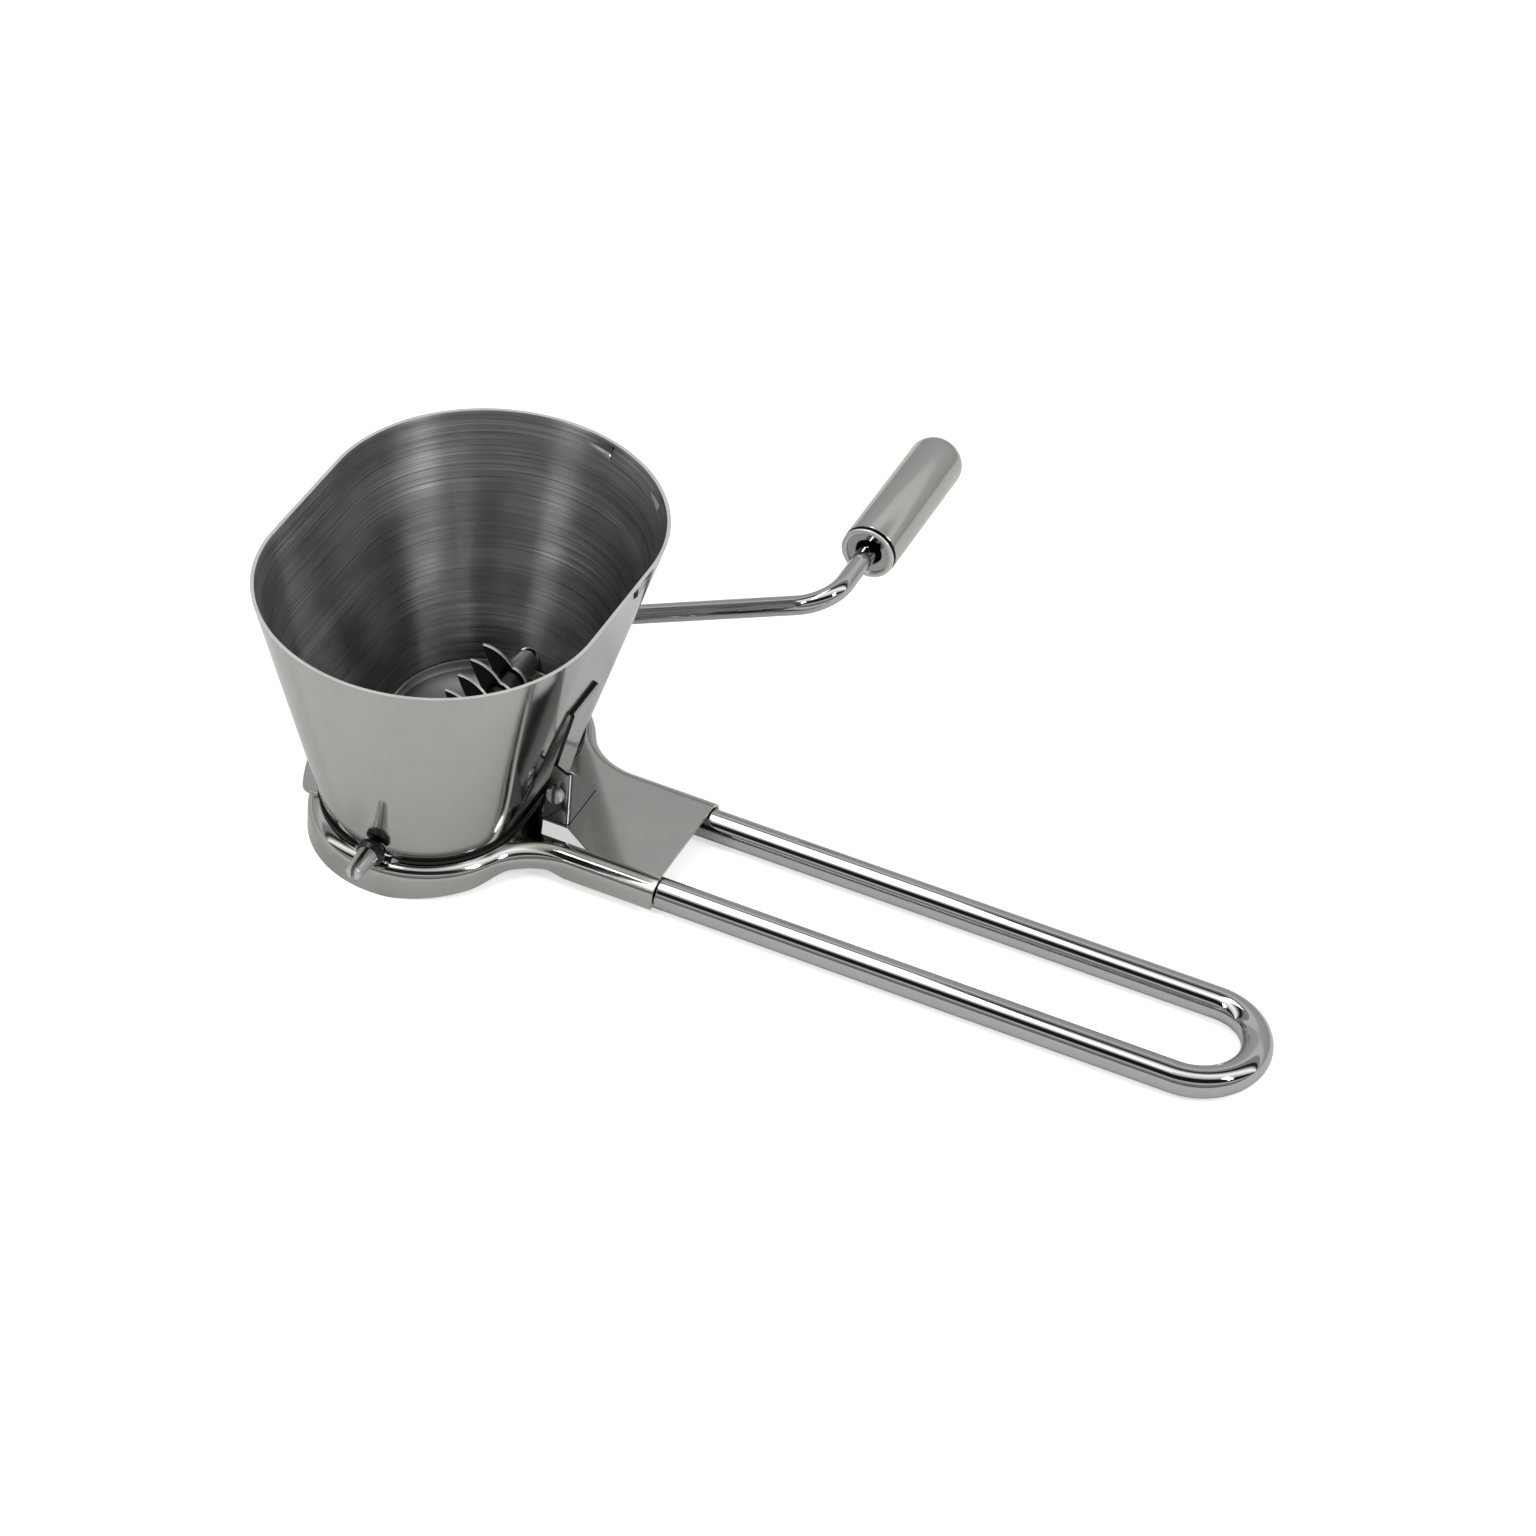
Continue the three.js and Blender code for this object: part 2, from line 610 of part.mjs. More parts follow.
add('hopper', hopper(), 'brushed');
add('frame', frame(), 'brushed');
add('handle_wire', handleWire(), 'polished');
add('comb_floor', combFloor(), 'brushed');
add('pin_bracket', pinBracket(), 'brushed');
add('split_pin', splitPin(), 'polished');
add('hopper_strap', hopperStrap(), 'brushed');
add('catch_ear', catchEar(), 'brushed');
add('crank_rod', crankRod(), 'polished');
add('shaft_tip', shaftTip(), 'polished');
bladeYs.forEach((y, i) => add(numbered('blade', i), blade(y), 'blade'));

// Sleeves fill the shaft between the blades and out to the end walls
const bladeFaces = bladeYs.flatMap((y) => [y - bladeThickness / 2, y + bladeThickness / 2]);
const sleeveEdges = [-rotorHalf, ...bladeFaces, rotorHalf];
for (let i = 0; i <= bladeCount; i++) {
  const from = sleeveEdges[2 * i] + seatGap;
  const to = sleeveEdges[2 * i + 1] - seatGap;
  const sleeve = tube(boreRadius, boreRadius + spacerWall, from, to, 0, shaftHeight);
  add(numbered('spacer', i), sleeve, 'polished');
}

add('grip_sleeve', gripSleeve(), 'polished');
add('grip_cap', gripCap(), 'brushed');
add('grip_retainer', gripRetainer(), 'brushed');

// The part stands on its own origin, under the middle of its box
const bounds = new THREE.Box3().setFromObject(mill);
const middle = bounds.getCenter(new THREE.Vector3());
mill.position.set(-middle.x, -middle.y, -bounds.min.z);

export default mill;
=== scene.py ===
import bmesh
import bpy
import numpy as np
from mathutils import Matrix, Vector


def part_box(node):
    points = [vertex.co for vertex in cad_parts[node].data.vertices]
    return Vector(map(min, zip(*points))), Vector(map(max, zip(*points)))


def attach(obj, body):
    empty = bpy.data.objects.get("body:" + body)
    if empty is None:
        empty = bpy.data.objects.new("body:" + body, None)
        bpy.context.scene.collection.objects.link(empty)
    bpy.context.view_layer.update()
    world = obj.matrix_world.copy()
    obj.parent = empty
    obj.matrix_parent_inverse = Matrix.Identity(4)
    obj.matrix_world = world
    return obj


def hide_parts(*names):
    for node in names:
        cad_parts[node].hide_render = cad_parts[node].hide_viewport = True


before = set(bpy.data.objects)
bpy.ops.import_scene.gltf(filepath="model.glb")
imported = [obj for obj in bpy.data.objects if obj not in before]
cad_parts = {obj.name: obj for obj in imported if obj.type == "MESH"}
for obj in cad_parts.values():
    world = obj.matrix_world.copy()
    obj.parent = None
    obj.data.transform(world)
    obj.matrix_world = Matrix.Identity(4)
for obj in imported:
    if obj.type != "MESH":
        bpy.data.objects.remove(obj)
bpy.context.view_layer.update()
mm = 0.001
turn = 2 * np.pi

# the hopper's upright axis is the zero of every shape below, in millimetres
hopperLow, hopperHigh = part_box("hopper")
middle = np.array([(hopperLow.x + hopperHigh.x) / 2, (hopperLow.y + hopperHigh.y) / 2, 0.0]) / mm


def linearColour(hexText):
    # sRGB hex to linear: below 0.04045 divide by 12.92, above it ((c + 0.055) / 1.055) to the power 2.4
    c = np.array([int(hexText[i:i + 2], 16) for i in (1, 3, 5)]) / 255
    c = np.where(c <= 0.04045, c / 12.92, ((c + 0.055) / 1.055) ** 2.4)
    return (*c, 1.0)


def addNode(tree, kind, links=None, sockets=None, **settings):
    # one node: settings are its own fields, sockets its fixed inputs, links its inputs from other nodes
    made = tree.nodes.new(kind)
    for field, value in settings.items():
        setattr(made, field, value)
    for socket, value in (sockets or {}).items():
        made.inputs[socket].default_value = value
    for socket, source in (links or {}).items():
        tree.links.new(source, made.inputs[socket])
    return made


def newMaterial(name):
    made = bpy.data.materials.new(name)
    made.use_nodes = True
    made.node_tree.nodes.clear()
    return made, made.node_tree


# Polished stainless sheet and wire: rolled and buffed, so it mirrors its surroundings softly, with faint
# clouds where the buffing changed and a slight waviness from the press.
polishedLook = dict(sheet="#b1b0ad", wire="#b2b2b2", cloud=9.0, wave=14.0, waveDepth=0.012, hairline=0.35)


def polishedStainless(name, colour, roughness, waveDepth):
    material, tree = newMaterial(name)
    place = addNode(tree, "ShaderNodeTexCoord").outputs["Object"]
    cloud = addNode(tree, "ShaderNodeTexNoise", {"Vector": place},
                    {"Scale": 1 / (polishedLook["cloud"] * mm), "Detail": 4.0, "Roughness": 0.6})
    wave = addNode(tree, "ShaderNodeTexNoise", {"Vector": place},
                   {"Scale": 1 / (polishedLook["wave"] * mm), "Detail": 1.0})
    hair = addNode(tree, "ShaderNodeTexNoise", {"Vector": place},
                   {"Scale": 1 / (polishedLook["hairline"] * mm), "Detail": 2.0})
    dark = tuple(v * 0.90 for v in linearColour(colour)[:3]) + (1.0,)
    tint = addNode(tree, "ShaderNodeMix", {"Factor": cloud.outputs["Fac"]}, data_type="RGBA")
    tint.inputs["A"].default_value = dark
    tint.inputs["B"].default_value = linearColour(colour)
    rough = addNode(tree, "ShaderNodeMapRange", {"Value": cloud.outputs["Fac"]},
                    {"From Min": 0.3, "From Max": 0.7, "To Min": roughness * 0.75, "To Max": roughness * 1.3})
    fine = addNode(tree, "ShaderNodeBump", {"Height": hair.outputs["Fac"]},
                   {"Strength": 0.06, "Distance": 0.004 * mm})
    bump = addNode(tree, "ShaderNodeBump", {"Height": wave.outputs["Fac"], "Normal": fine.outputs["Normal"]},
                   {"Strength": 1.0, "Distance": waveDepth * mm})
    skin = addNode(tree, "ShaderNodeBsdfPrincipled",
                   {"Base Color": tint.outputs["Result"], "Roughness": rough.outputs["Result"],
                    "Normal": bump.outputs["Normal"]}, {"Metallic": 1.0})
    addNode(tree, "ShaderNodeOutputMaterial", {"Surface": skin.outputs["BSDF"]})
    return material


# Brushed stainless: the hopper's inside was brushed round and round, so hair lines follow the wall and the
# highlights spread up and down it. The lines are drawn about 0.5 mm apart, coarser than real, so they show.
brushedLook = dict(colour="#cdcecf", dark="#8a8b8c", lineGap=0.5, lineLength=46.0, patch=11.0)


def brushedStainless(name):
    material, tree = newMaterial(name)
    uv = addNode(tree, "ShaderNodeUVMap", uv_map="wall").outputs["UV"]
    stretch = addNode(tree, "ShaderNodeMapping", {"Vector": uv},
                      {"Scale": (1 / brushedLook["lineLength"], 1 / brushedLook["lineGap"], 1.0)})
    lines = addNode(tree, "ShaderNodeTexNoise", {"Vector": stretch.outputs["Vector"]},
                    {"Scale": 1.0, "Detail": 5.0, "Roughness": 0.65})
    blotch = addNode(tree, "ShaderNodeMapping", {"Vector": uv},
                     {"Scale": (0.4 / brushedLook["patch"], 1 / brushedLook["patch"], 1.0)})
    patch = addNode(tree, "ShaderNodeTexNoise", {"Vector": blotch.outputs["Vector"]}, {"Scale": 1.0, "Detail": 2.0})
    show = addNode(tree, "ShaderNodeMapRange", {"Value": patch.outputs["Fac"]},
                   {"From Min": 0.4, "From Max": 0.65, "To Min": 0.25, "To Max": 1.0})
    streak = addNode(tree, "ShaderNodeMapRange", {"Value": lines.outputs["Fac"]},
                     {"From Min": 0.35, "From Max": 0.68})
    blend = addNode(tree, "ShaderNodeMath", {0: streak.outputs["Result"], 1: show.outputs["Result"]},
                    operation="MULTIPLY")
    tint = addNode(tree, "ShaderNodeMix", {"Factor": blend.outputs["Value"]}, data_type="RGBA")
    tint.inputs["A"].default_value = linearColour(brushedLook["dark"])
    tint.inputs["B"].default_value = linearColour(brushedLook["colour"])
    rough = addNode(tree, "ShaderNodeMapRange", {"Value": blend.outputs["Value"]},
                    {"To Min": 0.27, "To Max": 0.39})
    across = addNode(tree, "ShaderNodeTangent", direction_type="UV_MAP", uv_map="wall")
    bump = addNode(tree, "ShaderNodeBump", {"Height": lines.outputs["Fac"]}, {"Strength": 0.5, "Distance": 0.03 * mm})
    skin = addNode(tree, "ShaderNodeBsdfPrincipled",
                   {"Base Color": tint.outputs["Result"], "Roughness": rough.outputs["Result"],
                    "Normal": bump.outputs["Normal"], "Tangent": across.outputs["Tangent"]},
                   {"Metallic": 1.0, "Anisotropic": 0.85, "Anisotropic Rotation": 0.25})
    addNode(tree, "ShaderNodeOutputMaterial", {"Surface": skin.outputs["BSDF"]})
    return material


sheetSteel = polishedStainless("polished_stainless_sheet", polishedLook["sheet"], 0.1, polishedLook["waveDepth"])
wireSteel = polishedStainless("polished_stainless_wire", polishedLook["wire"], 0.045, polishedLook["waveDepth"] / 3)
gripSteel = polishedStainless("drawn_stainless_tube", "#b8b6b3", 0.12, polishedLook["waveDepth"])
turnedSteel = polishedStainless("turned_stainless_pin", "#c4c4c3", 0.3, 0.0)
# blade steel painted dark as the shade inside the hopper
shadedBladeSteel = polishedStainless("blade_steel_painted_shade", "#4c4c4c", 0.28, polishedLook["waveDepth"])
floorSteel = polishedStainless("stamped_floor_steel", "#787877", 0.34, polishedLook["waveDepth"])
springSteel = polishedStainless("spring_steel_sheet", "#828180", 0.14, polishedLook["waveDepth"])
# painted highlight: a light steel laid on cut edges, rims and rolled lines so that they show as bright lines
paintedHighlightSteel = polishedStainless("painted_highlight_steel", "#dededd", 0.4, 0.0)
# painted shade: a dark steel put in slits, gaps, hollows and edges where shadow falls
paintedShadeSteel = polishedStainless("painted_shade_steel", "#363636", 0.35, 0.0)
# painted shade, near black: the bracket's edges drawn as the dark shadow line along its top
paintedBlackShade = polishedStainless("painted_black_shade", "#121212", 0.5, 0.0)
brushedSteel = brushedStainless("brushed_stainless_sheet")
print("materials ready")


def settle(piece):
    # turns a piece's modifiers into its mesh
    held = bpy.context.evaluated_depsgraph_get()
    held.update()
    before = piece.data
    piece.data = bpy.data.meshes.new_from_object(piece.evaluated_get(held))
    piece.modifiers.clear()
    bpy.data.meshes.remove(before)
    piece.data.name = piece.name


def makePiece(name, grids, materials, solid=None, bevel=None, closed=True, cutter=None, evenSheet=True,
              level=None, rimLook=None, edgeLook=None, lining=0):
    # grids are (points, uv, keep, look): points on rows and columns in mm from the hopper's axis, uv in mm,
    # keep False where a cell is cut away, look the material's number for the grid or for its cells.
    # Quads join neighbours, doubles at seams and poles are merged. edgeLook is the look of a sheet's cut edges,
    # and lining says how much further down the list of looks that of its inner side stands.
    allPoints, allQuads, allUv, allLooks, start = [], [], [], [], 0
    for points, uv, keep, *look in grids:
        rows, columns = points.shape[:2]
        index = start + np.arange(rows * columns).reshape(rows, columns)
        quads = np.stack([index[:-1, :-1], index[:-1, 1:], index[1:, 1:], index[1:, :-1]], -1)
        if uv is None:
            uv = np.zeros((rows, columns, 2))
        corners = np.stack([uv[:-1, :-1], uv[:-1, 1:], uv[1:, 1:], uv[1:, :-1]], -2)
        kept = np.ones(quads.shape[:2], bool) if keep is None else keep
        allPoints.append(points.reshape(-1, 3))
        allQuads.append(quads[kept])
        allUv.append(corners[kept].reshape(-1, 2))
        allLooks.append(np.broadcast_to(look[0] if look else 0, kept.shape)[kept])
        start += rows * columns
    points = (np.concatenate(allPoints) + middle) * mm
    quads = np.concatenate(allQuads)
    mesh = bpy.data.meshes.new(name)
    mesh.vertices.add(len(points))
    mesh.vertices.foreach_set("co", points.astype(np.float32).ravel())
    mesh.loops.add(quads.size)
    mesh.loops.foreach_set("vertex_index", quads.ravel().astype(np.int32))
    mesh.polygons.add(len(quads))
    mesh.polygons.foreach_set("loop_start", np.arange(0, quads.size, 4, dtype=np.int32))
    mesh.polygons.foreach_set("material_index", np.concatenate(allLooks).astype(np.int32))
    mesh.update(calc_edges=True)
    mesh.uv_layers.new(name="wall").data.foreach_set("uv", np.concatenate(allUv).astype(np.float32).ravel())
    work = bmesh.new()
    work.from_mesh(mesh)
    bmesh.ops.remove_doubles(work, verts=work.verts, dist=0.002 * mm)
    bmesh.ops.dissolve_degenerate(work, edges=work.edges, dist=0.001 * mm)
    loose = [v for v in work.verts if not v.link_faces]
    bmesh.ops.delete(work, geom=loose, context="VERTS")
    if closed:
        bmesh.ops.recalc_face_normals(work, faces=work.faces)
    for face in work.faces:
        face.smooth = True
    work.to_mesh(mesh)
    work.free()
    piece = bpy.data.objects.new(name, mesh)
    bpy.context.scene.collection.objects.link(piece)
    for material in materials:
        mesh.materials.append(material)
    if solid:
        wall = piece.modifiers.new("sheet", "SOLIDIFY")
        wall.thickness = solid * mm
        wall.offset = -1
        wall.use_even_offset = evenSheet
        wall.material_offset = lining
    if edgeLook:
        wall.material_offset_rim = len(mesh.materials)
        mesh.materials.append(edgeLook)
    if level:
        settle(piece)
        height = np.zeros(len(piece.data.vertices) * 3)
        piece.data.vertices.foreach_get("co", height)
        height[2::3] = np.clip(height[2::3], level[0] * mm, level[1] * mm)
        piece.data.vertices.foreach_set("co", height)
    if rimLook:
        # the cut edge along the top has its own look, at the hopper a painted highlight
        centres = np.zeros(len(piece.data.polygons) * 3)
        looks = np.zeros(len(piece.data.polygons), np.int32)
        piece.data.polygons.foreach_get("center", centres)
        piece.data.polygons.foreach_get("material_index", looks)
        looks[centres[2::3] > level[1] * mm - 0.00005] = len(piece.data.materials)
        piece.data.materials.append(rimLook)
        piece.data.polygons.foreach_set("material_index", looks)
    if cutter:
        hole = piece.modifiers.new("window", "BOOLEAN")
        hole.object = cutter
        hole.operation = "DIFFERENCE"
        hole.solver = "EXACT"
    if bevel:
        edge = piece.modifiers.new("edge", "BEVEL")
        edge.width = bevel * mm
        edge.segments = 3
        edge.limit_method = "ANGLE"
        edge.angle_limit = np.radians(38)
        edge.harden_normals = True
    settle(piece)
    if not bevel:
        piece.data.set_sharp_from_angle(angle=np.radians(38))
    return piece


def fit(piece, body, slot, *nodes):
    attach(piece, body)
    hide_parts(*nodes)
    return piece


def spaced(*parts):
    # one rising list of places out of several, doubles left out
    return np.unique(np.round(np.concatenate([np.atleast_1d(p) for p in parts]), 5))


def turned(profile, x, z, sides=64):
    # profile of (radius, y) carried once round an axis along Y: x = radius cos a, z = radius sin a
    profile = np.asarray(profile, float)
    a = np.linspace(0, turn, sides + 1)
    radius, y = profile[:, :1], profile[:, 1:]
    return np.stack([x + radius * np.cos(a), y + 0 * a, z + radius * np.sin(a)], -1), None, None


def corner(centreR, centreY, radius, fromDeg, toDeg, steps=8):
    # points of an arc in a turned profile
    a = np.radians(np.linspace(fromDeg, toDeg, steps + 1))
    return np.stack([centreR + radius * np.cos(a), centreY + radius * np.sin(a)], -1)


def wireAlong(path, side, radius, sides=40, chamfer=0.35):
    # round bar: circles of one radius across a path that lies in the plane square to side, drawn in at the ends
    step = np.gradient(path, axis=0)
    step /= np.linalg.norm(step, axis=1, keepdims=True)
    ends = [path[:1], path[:1], path[:1] + step[:1] * chamfer, path[1:-1], path[-1:] - step[-1:] * chamfer,
            path[-1:], path[-1:]]
    steps = [step[:1]] * 3 + [step[1:-1]] + [step[-1:]] * 3
    thick = np.full(len(path) + 4, radius)
    thick[[0, -1]] = 0
    thick[[1, -2]] = radius - chamfer
    spine, step = np.concatenate(ends), np.concatenate(steps)
    across = np.cross(step, side)
    a = np.linspace(0, turn, sides + 1)[None, :, None]
    ring = np.cos(a) * np.asarray(side)[None, None] + np.sin(a) * across[:, None]
    return spine[:, None] + thick[:, None, None] * ring, None, None


def bend(start, heading, towards, radius, sweep, steps):
    # arc that leaves start along heading and curls over to towards
    a = np.linspace(0, sweep, steps + 1)[:, None]
    return np.asarray(start) + radius * ((1 - np.cos(a)) * towards + np.sin(a) * heading)


# Hopper: two half cones joined by flat sides. A point is the spine point of its column plus the wall's reach
# at its height along the column's outward direction.
hopperSizes = dict(flatHalf=13.6, baseRadius=21.0, rimRadius=36.0, bottom=8.8, rim=62.8, sheet=0.8,
                   notch=2.35, slotNear=-6.75, slotFar=5.15, slotLow=35.55, slotHigh=36.85, edge=0.22,
                   louvreLength=6.2, louvreHeight=2.9, louvreDepth=0.45, louvreRise=60.5, slit=0.45)
shaftHeight = 10.4
flare = (hopperSizes["rimRadius"] - hopperSizes["baseRadius"]) / (hopperSizes["rim"] - hopperSizes["bottom"])


def wallReach(z):
    return hopperSizes["baseRadius"] + (z - hopperSizes["bottom"]) * flare


def hopperGrid():
    s = hopperSizes
    quarter = np.pi / 2
    nick = s["notch"] / wallReach(shaftHeight)
    nickColumns = np.concatenate([nick * np.sin(np.linspace(-quarter, quarter, 17)), [-nick - 1e-3, nick + 1e-3]])
    rimReach = wallReach(s["louvreRise"])
    half = s["louvreLength"] / 2
    step = s["slit"]
    # louvre middles, measured along the wall from the +X end of the back arc: positive up the arc
    louvres = np.array([np.radians(77) * rimReach, np.radians(44) * rimReach, -half - step])
    louvreSpan = np.concatenate([np.linspace(-half, half, 17), [-half - step]])
    backLouvres = (louvres[:2, None] + louvreSpan).ravel() / rimReach
    back = spaced(np.linspace(0, np.pi, 65), quarter + nickColumns, backLouvres)
    front = spaced(np.linspace(np.pi, 2 * np.pi, 65), 3 * quarter + nickColumns)
    left = np.linspace(s["flatHalf"], -s["flatHalf"], 15)[1:-1]
    flatLouvre = s["flatHalf"] + louvres[2] + louvreSpan
    right = spaced(np.linspace(-s["flatHalf"], s["flatHalf"], 15), s["slotNear"], s["slotFar"], flatLouvre)[1:]
    spineY = np.concatenate([np.full(len(back), s["flatHalf"]), left, np.full(len(front), -s["flatHalf"]), right])
    outX = np.concatenate([np.cos(back), np.full(len(left), -1.0), np.cos(front), np.ones(len(right))])
    outY = np.concatenate([np.sin(back), 0 * left, np.sin(front), 0 * right])
    # place along the wall at the louvres' height, zero at the +X end of the back arc
    along = np.where(spineY >= s["flatHalf"] - 1e-6, np.arctan2(outY, outX) * rimReach, 1e3)
    flatRight = np.concatenate([np.zeros(len(back) + len(left) + len(front), bool), np.ones(len(right), bool)])
    along = np.where(flatRight, spineY - s["flatHalf"], along)

    rows = spaced(np.linspace(s["bottom"], s["rim"], 25), s["slotLow"], s["slotHigh"],
                  s["louvreRise"] + s["louvreHeight"] / 2 * np.linspace(-1.05, 1.05, 15))
    share = (rows - s["bottom"]) / (s["rim"] - s["bottom"])
    off = np.abs(wallReach(shaftHeight) * outX)
    inNotch = (off < s["notch"] + 1e-6) & (np.abs(outY) > 0.5)
    arch = shaftHeight + np.sqrt(np.maximum(s["notch"] ** 2 - off ** 2, 0))
    foot = np.where(inNotch, arch, s["bottom"])
    z = foot + share[:, None] * (s["rim"] - foot)
    # louvre: a tongue that is pressed out along its length and ends in a sharp step, deepest near its lower edge
    place = np.full(z.shape, -1.0)
    for middleOf in louvres:
        t = (middleOf + half - along) / (2 * half)
        place = np.where((t >= -1e-6) & (t <= 1 + 1e-6), np.clip(t, 0, 1), place)
    across = 2 * (z - s["louvreRise"]) / s["louvreHeight"] / np.maximum(np.sqrt(np.maximum(place, 0)), 0.05)
    swell = s["louvreDepth"] * place * np.maximum(1 - across ** 2, 0) ** 0.8 * (1 - 0.6 * across)
    swell = np.where(place > 0, swell, 0)
    reach = wallReach(z) + swell
    points = np.stack([reach * outX, spineY + reach * outY, z], -1)
    points = np.concatenate([points, points[:, :1]], 1)
    length = np.concatenate([[0], np.cumsum(np.linalg.norm(np.diff(points[12], axis=0), axis=1))])
    uv = np.stack(np.broadcast_arrays(length[None], np.concatenate([z, z[:, :1]], 1)), -1)

    cellY = np.concatenate([spineY, spineY[:1]])
    cellY = (cellY[1:] + cellY[:-1]) / 2
    cellRight = np.concatenate([flatRight, [False]])
    cellRight = cellRight[1:] & cellRight[:-1]
    cellZ = (rows[1:] + rows[:-1]) / 2
    inSlot = cellRight & (cellY > s["slotNear"]) & (cellY < s["slotFar"])
    slot = inSlot & ((cellZ > s["slotLow"]) & (cellZ < s["slotHigh"]))[:, None]
    cellAlong = np.concatenate([along, along[:1]])
    cellAlong = (cellAlong[1:] + cellAlong[:-1]) / 2
    # the slit at each louvre's step is painted dark as shade
    inSlit = np.any(np.abs(louvres - half - step / 2 - cellAlong[:, None]) < step / 2, 1)
    dark = inSlit & (np.abs(cellZ - s["louvreRise"]) < s["louvreHeight"] / 2)[:, None]
    return points, uv, ~slot, 2 * dark


# the louvre slits are in painted shade, and the top rim in a painted highlight
hopper = makePiece("hopper_shell", [hopperGrid()], [sheetSteel, brushedSteel, paintedShadeSteel, paintedShadeSteel],
                   solid=hopperSizes["sheet"], lining=1,
                   bevel=hopperSizes["edge"], closed=False, evenSheet=False,
                   level=(hopperSizes["bottom"], hopperSizes["rim"]), rimLook=paintedHighlightSteel)
fit(hopper, "mill", "sheet", "hopper")
print("hopper done")


# Frame: one pressing. Its plan outline runs from the plate's near corner, round the ring and back to the far
# corner; each plan point moves in along its own direction while the profile climbs skirt, shoulder and top.
# The shoulder is rounder along the plate, about the handle wire, and lift is the skirt's lower edge as (x, z).
frameSizes = dict(ringRadius=23.7, flatHalf=13.6, plateHalf=16.6, neckRadius=14.0, plateEnd=53.4, top=7.7,
                  shoulder=3.0, plateShoulder=4.3, easy=6.0, tight=0.5, tightAt=(36, 39, 61, 64),
                  sheet=0.55, opening=20.2, edge=0.16,
                  lift=((4.0, 0.0), (19.0, 1.6), (23.0, 3.2), (30.2, 3.2), (33.4, 2.0)))
windowPlan = dict(x=(26.3, 37.0, 30.0, 24.4), y=(-12.2, -12.2, -7.55, -7.55), low=3.0, high=10.0)


